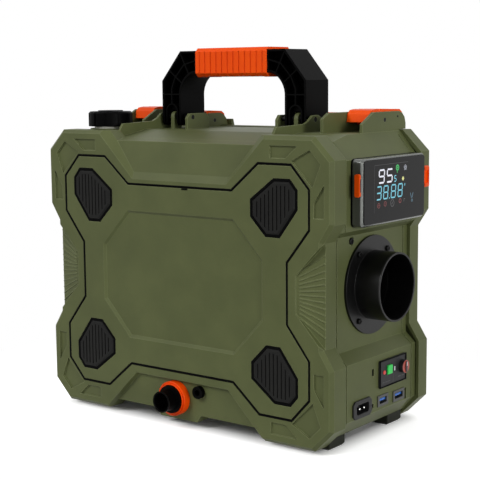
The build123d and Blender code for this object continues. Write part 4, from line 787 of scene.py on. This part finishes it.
# %% [markdown]
# ## Digits
# A digit has seven bars, and each figure lights some of them. Two small tables hold that: where a
# bar lies, in halves of the digit, and which bars a figure lights. Such digits lean a little, so a
# bar moves sideways as it rises. Text would be quicker, but no plain font has these gaps.

# %% Figures of seven bars
LEAN = 0.09                     # sideways for each millimetre up
GAP = 0.3                       # what a bar leaves free, in widths of a bar
UPRIGHT = math.pi / 2
SEGMENTS = {
    # along y and z in halves of the digit, and whether the bar stands
    "a": (0.0, 1.0, False), "b": (1.0, 0.5, True), "c": (1.0, -0.5, True), "d": (0.0, -1.0, False),
    "e": (-1.0, -0.5, True), "f": (-1.0, 0.5, True), "g": (0.0, 0.0, False),
}
DIGITS = {"3": "abcdg", "5": "acdfg", "8": "abcdefg", "9": "abcdfg"}


def digit(figure, y, z, wide, high, stroke):
    """The bars of one figure, centred on (y, z)."""
    across, up = (wide - stroke) / 2, (high - stroke) / 2
    bars = []
    for name in DIGITS[figure]:
        right, rise, stands = SEGMENTS[name]
        length = (up if stands else 2 * across) - GAP * stroke
        turn = UPRIGHT - LEAN if stands else 0.0
        bars.append(bar(y + right * across + rise * up * LEAN, z + rise * up, length, stroke, turn))
    return bars


# %% The lit figures
white_bars = digit("9", -19.2, 292.0, 12.4, 15.2, 1.8) + digit("5", -2.8, 292.0, 12.4, 15.2, 1.8)
finish_piece(join(white_bars), "figures_white", white_light, "display")
blue_bars = digit("5", 8.9, 288.0, 5.2, 7.2, 1.1)
for figure, y in (("3", -24.4), ("8", -10.6), ("8", 5.2), ("8", 19.4)):
    blue_bars += digit(figure, y, 274.6, 10.2, 15.0, 1.5)
blue_bars.append(bar(-2.9, 267.8, 2.0, 1.9))
blue_bars.append(bar(29.2, 280.0, 3.2, 1.1, UPRIGHT - LEAN))
print("bars:", len(white_bars), "white and", len(blue_bars), "blue")
finish_piece(join(blue_bars), "figures_blue", blue_light, "display")

# %% [markdown]
# ## Icons
# Round the figures small signs tell of modes and faults. They are kept to simple shapes that
# belong to nobody: a drop, a flower of rings for the fan, a star for the sun and a row of rings.
# The signs that are off stay faintly visible, as printed film does; their faint glow is painted light.

# %% Unit mark
steep = math.radians(68)
unit = [
    bar(42.8, 267.0, 6.6, 0.9, -steep), bar(46.4, 267.0, 6.6, 0.9, steep), ring(45.2, 261.4, 1.7, 0.7),
]
# blue film with little light behind it: just legible
finish_piece(join(unit), "unit_mark", lit("dim_blue_print", "#7fb4d0", 0.35), "display")
print("unit mark:", len(unit), "shapes")

# %% Signs that are on
drop = [ring(13.4, 299.4, 3.4, 1.5), bar(13.0, 295.4, 3.6, 1.2, UPRIGHT), bar(13.4, 299.4, 2.6, 2.5)]
# green film: a clear spot of colour over the figures
finish_piece(join(drop), "mode_icon_green", lit("green_icon_light", "#35c864", 0.7), "display")
petals = []
for fifth in range(5):
    angle = fifth * 2 * math.pi / 5
    petals.append(ring(30.2 + 2.0 * math.sin(angle), 298.6 + 2.0 * math.cos(angle), 1.2, 0.5))
# white film with less light: it reads after the figures
finish_piece(join(petals), "fan_icon_white", lit("white_icon_light", "#c8ccda", 0.6), "display")
sun = [bar(25.4, 286.8, 5.0, 3.4, turn) for turn in (0.0, math.pi / 3, -math.pi / 3)]
# pale yellow film: a warm spot among blue
finish_piece(join(sun), "sun_icon_yellow", lit("yellow_icon_light", "#eef0a0", 0.8), "display")
print("rings of the flower:", len(petals), "bars of the star:", len(sun))

# %% Signs that are off, and two lines
red_row = [
    ring(-24.9, 261.3, 2.7, 0.6), bar(-24.9, 261.3, 3.2, 0.7),
    ring(-11.7, 262.2, 2.7, 0.6), bar(-11.7, 262.2, 1.4, 1.3), ring(19.4, 263.0, 2.6, 0.9),
]
# red film, its lamps off: dull, as ink behind smoked glass, and its faint glow is painted light
finish_piece(join(red_row), "status_icons_red", lit("dim_red_print_painted_glow", "#b4484a", 0.42), "display")
grey_row = [
    ring(3.0, 261.9, 4.0, 0.7), bar(3.0, 261.9, 4.2, 0.7, 0.8),
    bar(27.6, 263.2, 3.8, 0.8, 1.45), bar(28.8, 264.4, 2.4, 0.8),
]
# grey film, off: hardly there, and its faint glow is painted light
finish_piece(join(grey_row), "status_icons_grey", lit("dim_grey_print_painted_glow", "#8a8a8c", 0.25), "display")
field_edge = [bar(1.0, 304.4, 70.0, 0.5), bar(-34.0, 279.0, 50.0, 0.5, UPRIGHT)]
# grey ink with a faint glow of its own, painted light for the stray light it catches: a faint outline of
# the field
finish_piece(join(field_edge), "lit_field_edge", lit("grey_print_line_painted_glow", "#5c5d60", 0.15), "display")
print("shapes that are off:", len(red_row) + len(grey_row))

# %% [markdown]
# ## Pilot light
# A small red lens tells that the heater runs. It is pressed into a rim, so it is not a bare ball:
# a short cylinder has its face inset and sunk for the rim, and two more insets raise the dome of
# the lens. A sphere would show no seam between the two.

# %% Red lens in its rim
PANEL_X = 203.0                 # face of the switch panel
bpy.ops.mesh.primitive_cylinder_add(
    vertices=24, radius=mm(2.2), depth=mm(0.9),
    rotation=(0, math.pi / 2, 0), location=at(PANEL_X + 0.3, 7.6, 72.4))
pilot = bpy.context.object
settle(pilot)
with editing(pilot, lambda face: face.normal.x > 0.9):
    for inward, forward in ((0.4, -0.2), (0.35, 0.5), (0.6, 0.25)):
        bpy.ops.mesh.inset(thickness=mm(inward), depth=mm(forward))
round_off(pilot, 0.15, 2)
# red acrylic over a lamp: an even glow
finish_piece(pilot, "pilot_light", lit("red_pilot_lens", "#e03a34", 0.7))
print("pilot light:", len(pilot.data.polygons), "faces")

# %% [markdown]
# ## Dash and frame of the switch panel
# A white dash stands beside the button, and a raised black frame runs round the panel. Four bars
# would leave joints at the frame's corners. So it is a block whose two faces are inset and
# bridged, and one piece gives all four sides. The dash is as thick as ink.

# %% Dash beside the button
dash = block((PANEL_X - 0.1, PANEL_X + 0.15), (28.9, 31.1), (70.4, 75.2))
round_off(dash, 0.1, 2)
# white ink, printed: crisp and bright on the charcoal panel, by a glow of its own that is painted light
finish_piece(dash, "white_dash", lit("white_print_painted_glow", "#f0f0f4", 0.5))
print("dash:", round(dash.dimensions.z * 1000, 1), "mm high")

# %% Frame round the panel
switch_frame = block((PANEL_X - 0.4, PANEL_X + 0.9), (-2.0, 55.0), (55.5, 86.5))
with editing(switch_frame, looks_along_x):
    bpy.ops.mesh.inset(thickness=mm(1.4), use_individual=True)
    bpy.ops.mesh.bridge_edge_loops()
round_off(switch_frame, 0.35, 3)
finish_piece(switch_frame, "switch_frame_rim", finishes["black_plastic"])
print("frame:", len(switch_frame.data.polygons), "faces")

# %% [markdown]
# ## Dial of the knob
# The face of the knob has a red dial and a white pointer, so one sees where it is set. Both are
# paint, filled into shallow grooves. They ride the knob, or the pointer would stay behind when
# it turns. The red is two rings, because the photograph shows a broad one and a small one.

# %% Dial and pointer
KNOB_FACE = 208.3
KNOB_Y, KNOB_Z = 46.0, 72.5
dial = [ring(KNOB_Y, KNOB_Z, 7.1, 3.4, KNOB_FACE, 40), ring(KNOB_Y, KNOB_Z, 2.9, 0.8, KNOB_FACE, 32)]
# red enamel in a shallow groove: full and dull, with a glow of its own that is painted light
finish_piece(join(dial), "knob_dial", lit("red_dial_paint_painted_glow", "#b04636", 0.7), "knob")
pointer = block((KNOB_FACE + 1.35, KNOB_FACE + 1.65), around(KNOB_Y, 1.2), (73.4, 78.0))
round_off(pointer, 0.12, 2)
# white enamel with a glow of its own that is painted light: the eye finds it first
finish_piece(pointer, "knob_pointer", lit("white_pointer_paint_painted_glow", "#e8dcd8", 0.6), "knob")
print("pointer:", round(pointer.dimensions.z * 1000, 1), "mm long")

# %% [markdown]
# ## Fine print of the switch panel
# The lower half of the panel has a divider and rows of fine print, left as plain dashes. They are
# blocks as thick as a coat of ink, joined into one piece, since they are printed in one go.

# %% Divider and rows of print
MARKS = (
    # low and high y, low and high z: the divider, then two dashes on each side of it
    ((26.3, 26.8), (58.0, 66.5)),
    ((4.0, 8.0), (60.6, 61.4)), ((10.0, 20.0), (60.6, 61.2)),
    ((37.0, 43.0), (61.6, 62.4)), ((45.0, 52.0), (61.6, 62.2)),
)
marks = [block((PANEL_X - 0.1, PANEL_X + 0.12), y, z) for y, z in MARKS]
print("marks on the panel:", len(marks))
# grey ink, printed: so faint that it reads as print and not as form, with a faint glow of its own that
# is painted light
finish_piece(join(marks), "bezel_print", lit("grey_bezel_print_painted_glow", "#6c6c6e", 0.12))

# %% [markdown]
# ## Tongues of the data sockets
# Each data socket has a blue tongue, which marks the fast kind, with four contacts under it. The
# tongue is a rounded block inside the frame, and the contacts are thin strips joined into one
# piece, since on the real socket they are one stamped part before it is cut.

# %% Blue tongues with gilded contacts
# liquid-crystal polymer, moulded: a clear, slightly glossy blue
blue_tongue = surface("blue_socket_tongue", "#1c60ba", "#266ecc", 0.3, edge=0.3)
# bronze sheet with a skin of gold: warm and bright
gilded = surface(
    "gilded_contact_sheet", "#b08d3c", "#c4a04a", 0.3, height=0.004, edge=0.2, Metallic=1.0)
SOCKETS = (((-4.0, 18.0), (35.0, 47.5)), ((29.0, 53.0), (33.5, 46.0)))      # frames along y and z
CONTACTS = 4
BESIDE_TONGUE = 4.5             # from the frame's end to the tongue, and to the first contact
TO_CONTACT = 6.2
for number, ((y0, y1), (z0, z1)) in enumerate(SOCKETS, start=1):
    middle = (z0 + z1) / 2
    tongue = block(
        (189.2, 200.9), (y0 + BESIDE_TONGUE, y1 - BESIDE_TONGUE), (middle - 0.45, middle + 2.05))
    round_off(tongue, 0.3, 2)
    finish_piece(tongue, "usb_tongue_%d" % number, blue_tongue)
    first, last = y0 + TO_CONTACT, y1 - TO_CONTACT
    strips = []
    for step in range(CONTACTS):
        y = first + step * (last - first) / (CONTACTS - 1)
        strips.append(block((190.0, 200.5), around(y, 1.0), (middle - 0.6, middle - 0.4)))
    finish_piece(join(strips), "usb_contacts_%d" % number, gilded)
    print("socket", number, "has a tongue of", round(tongue.dimensions.y * 1000, 1), "mm")

# %% [markdown]
# ## Pins and floor of the inlet
# The contact pins of the inlet are turned from nickelled brass and end in a dome, and the well
# that they stand in has a grey floor. The dome is the rounded end of a cylinder: a bevel of nearly
# the pin's own radius does what the lathe does.

# %% Domed ends of the pins
INLET_Y, INLET_Z = -36.5, 41.5
PIN_RADIUS = 1.3
PIN_APART = 8.6
# brass, turned and nickel plated: bright, with a small sharp light on each dome
nickel = surface("nickelled_brass", "#c8c8c4", "#d8d8d4", 0.18, height=0.002, edge=0.3, Metallic=1.0)
for number, y in enumerate(around(INLET_Y, PIN_APART), start=1):
    bpy.ops.mesh.primitive_cylinder_add(
        vertices=32, radius=mm(PIN_RADIUS), depth=mm(8.0),
        rotation=(0, math.pi / 2, 0), location=at(198.3, y, INLET_Z))
    tip = bpy.context.object
    round_off(tip, 0.9, 4)
    finish_piece(tip, "inlet_pin_end_%d" % number, nickel)
    print("pin", number, "ends at x", round(tip.bound_box[6][0] * 1000, 1), "mm of the frame")

# %% Floor of the well
# thermoset with mineral filler, pressed: a dull middle grey
grey_floor = surface("grey_thermoset", "#4a4b4e", "#545558", 0.5)
well_floor = block((188.9, 189.5), around(INLET_Y, 24.4), around(INLET_Z, 10.4))
round_off(well_floor, 0.25, 2)
finish_piece(well_floor, "inlet_well_floor", grey_floor)
print("floor of the well:", len(well_floor.data.polygons), "faces")

# %% [markdown]
# ## Dark tabs in the narrow slots
# Black tabs fill the narrow slots of the ports panel, as the clips of the pieces behind it and as
# painted shade that darkens the slots. Each is a block a little smaller than its slot, so that a dark
# line of gap stays round it.

# %% Clip tabs
SLOT_GAP = 0.35
SLOTS = ((-13.0, 76.0, 4.5, 8.0), (57.5, 38.0, 3.5, 13.0), (-13.0, 38.5, 3.5, 5.0))    # y, z, wide, high
for number, (y, z, wide, high) in enumerate(SLOTS, start=1):
    tab = block((199.4, 200.3), around(y, wide - 2 * SLOT_GAP), around(z, high - 2 * SLOT_GAP))
    round_off(tab, 0.4, 2)
    finish_piece(tab, "slot_tab_%d" % number, finishes["black_plastic"])
print("tabs:", len(SLOTS))

# %% [markdown]
# ## Round beads
# The end of the duct collar is rolled round, and so is the end of the exhaust stub, and each is a little
# paler than its black: a painted highlight that draws a thin pale ring. The exhaust gasket has two round
# lips that press on the case. All of them are round wires bent into a circle. A torus primitive gives
# just that, but a circle spun about an axis shows how it comes about, and works for any profile.

# %% A small circle, spun about an axis
ALONG_X, ALONG_Y = Vector((1, 0, 0)), Vector((0, 1, 0))


def spun_bead(middle, axis, radius, thick, steps=64):
    """A round bead about a middle and an axis, x or y: its radius, and that of its wire, in mm."""
    across = (0, math.pi / 2, 0) if axis.y else (math.pi / 2, 0, 0)
    bpy.ops.mesh.primitive_circle_add(
        vertices=12, radius=mm(thick), rotation=across, location=middle + Vector((0, 0, mm(radius))))
    bead = bpy.context.object
    settle(bead)
    with editing(bead, kind="EDGE"):
        bpy.ops.mesh.spin(steps=steps, angle=2 * math.pi, center=middle, axis=axis)
        bpy.ops.mesh.select_all(action="SELECT")
        bpy.ops.mesh.normals_make_consistent(inside=False)
    bpy.ops.object.shade_smooth()
    return bead


# %% Rolled end of the collar
# black nylon, a little paler than the collar: a painted highlight, a dark grey line along the rolled end
pale_rim_highlight = surface("black_rim_painted_highlight", "#1a1a1a", "#222222", 0.3, height=0.004)
rim = spun_bead(at(220.9, DUCT_Y, DUCT_Z), ALONG_X, 37.0, 1.08, steps=96)
finish_piece(rim, "collar_rim", pale_rim_highlight)
print("rim of the collar:", len(rim.data.polygons), "faces")

# %% Lips of the exhaust gasket
EXHAUST_X, EXHAUST_Z, GASKET_FACE = -12.0, 33.0, -104.0
LIPS = (("gasket_outer_lip", 19.05, 0.85, 0.3), ("gasket_inner_lip", 16.95, 0.9, -0.9))
for name, radius, thick, sunk in LIPS:
    lip = spun_bead(at(EXHAUST_X, GASKET_FACE + sunk, EXHAUST_Z), ALONG_Y, radius, thick)
    finish_piece(lip, name, finishes["orange_seal"])
    print(name, "is", round(lip.dimensions.x * 1000, 1), "mm across")

# %% Rolled end of the exhaust stub
STUB_END, STUB_RADIUS, STUB_WALL = -122.5, 12.2, 1.6
half_wall = STUB_WALL / 2
stub_middle = at(EXHAUST_X, STUB_END + half_wall + 0.05, EXHAUST_Z)
stub_rim = spun_bead(stub_middle, ALONG_Y, STUB_RADIUS - half_wall, half_wall + 0.04)
finish_piece(stub_rim, "exhaust_rim", pale_rim_highlight)
print("rim of the stub:", len(stub_rim.data.polygons), "faces")

# %% [markdown]
# ## Black band round the display
# A narrow black band is seen behind the display's bright bezel. It is a band of sheet bent round the
# housing: a block loses both its ends, its corners are rounded, and what is left gets a thickness.
# Scaling a hole into a block would leave the wall uneven.

# %% Black band round the back of the display
POD_Y = 9.3
band = block((199.3, 201.2), around(POD_Y, 131.4), (240.5, 312.0))
with editing(band, looks_along_x):
    bpy.ops.mesh.delete(type="FACE")
modify(band, "BEVEL", width=mm(5.0), segments=5, limit_method="ANGLE", angle_limit=SHARP)
modify(band, "SOLIDIFY", thickness=mm(0.35), offset=1.0)
bpy.ops.object.shade_smooth_by_angle(angle=SMOOTH)
finish_piece(band, "display_black_band", finishes["black_plastic"], "display")
print("back frame:", len(band.data.polygons), "faces")

# %% [markdown]
# ## Painted shade on the levers and the walls
# Each latch lever has a black strip in its finger groove, a dark sheet that paints the groove's shade,
# and the walls beside the end levers have a small black disc that paints the shade of a dimple. The
# strips ride their levers. Both kinds are modelled once in a loop over the two sides, because left and
# right are the same part.

# %% Black strips in the levers' grooves: painted shade
LEVERS = (
    # name, distance from the middle, length, low and high y, height of the groove's floor
    ("end_latch", 159.0, 27.0, 41.3, 42.9, 359.3),
    ("rear_latch", 95.0, 16.0, 64.0, 65.0, 354.3),
)
SUNK, PROUD = 0.5, 0.35         # below and above the floor of the groove
for name, middle, length, y0, y1, floor_z in LEVERS:
    for side, hand in ((-1, "left"), (1, "right")):
        groove_shade_strip = block(around(side * middle, length), (y0, y1), (floor_z - SUNK, floor_z + PROUD))
        round_off(groove_shade_strip, 0.25, 2)
        lever = "%s_%s" % (name, hand)
        finish_piece(groove_shade_strip, "%s_strip_%s" % (name, hand), finishes["hose_black"], lever)
        print("strip on", lever, round(groove_shade_strip.dimensions.x * 1000, 1), "mm long")

# %% Black discs on the latch walls: painted shade of small dimples
for side, hand in ((-1, "left"), (1, "right")):
    bpy.ops.mesh.primitive_cylinder_add(
        vertices=24, radius=mm(1.2), depth=mm(1.0),
        rotation=(0, math.pi / 2, 0), location=at(side * 177.7, 74.8, 352.1))
    dimple_shade_disc = bpy.context.object
    round_off(dimple_shade_disc, 0.3, 3)
    finish_piece(dimple_shade_disc, "latch_wall_dimple_shade_%s" % hand, finishes["black_screw"])
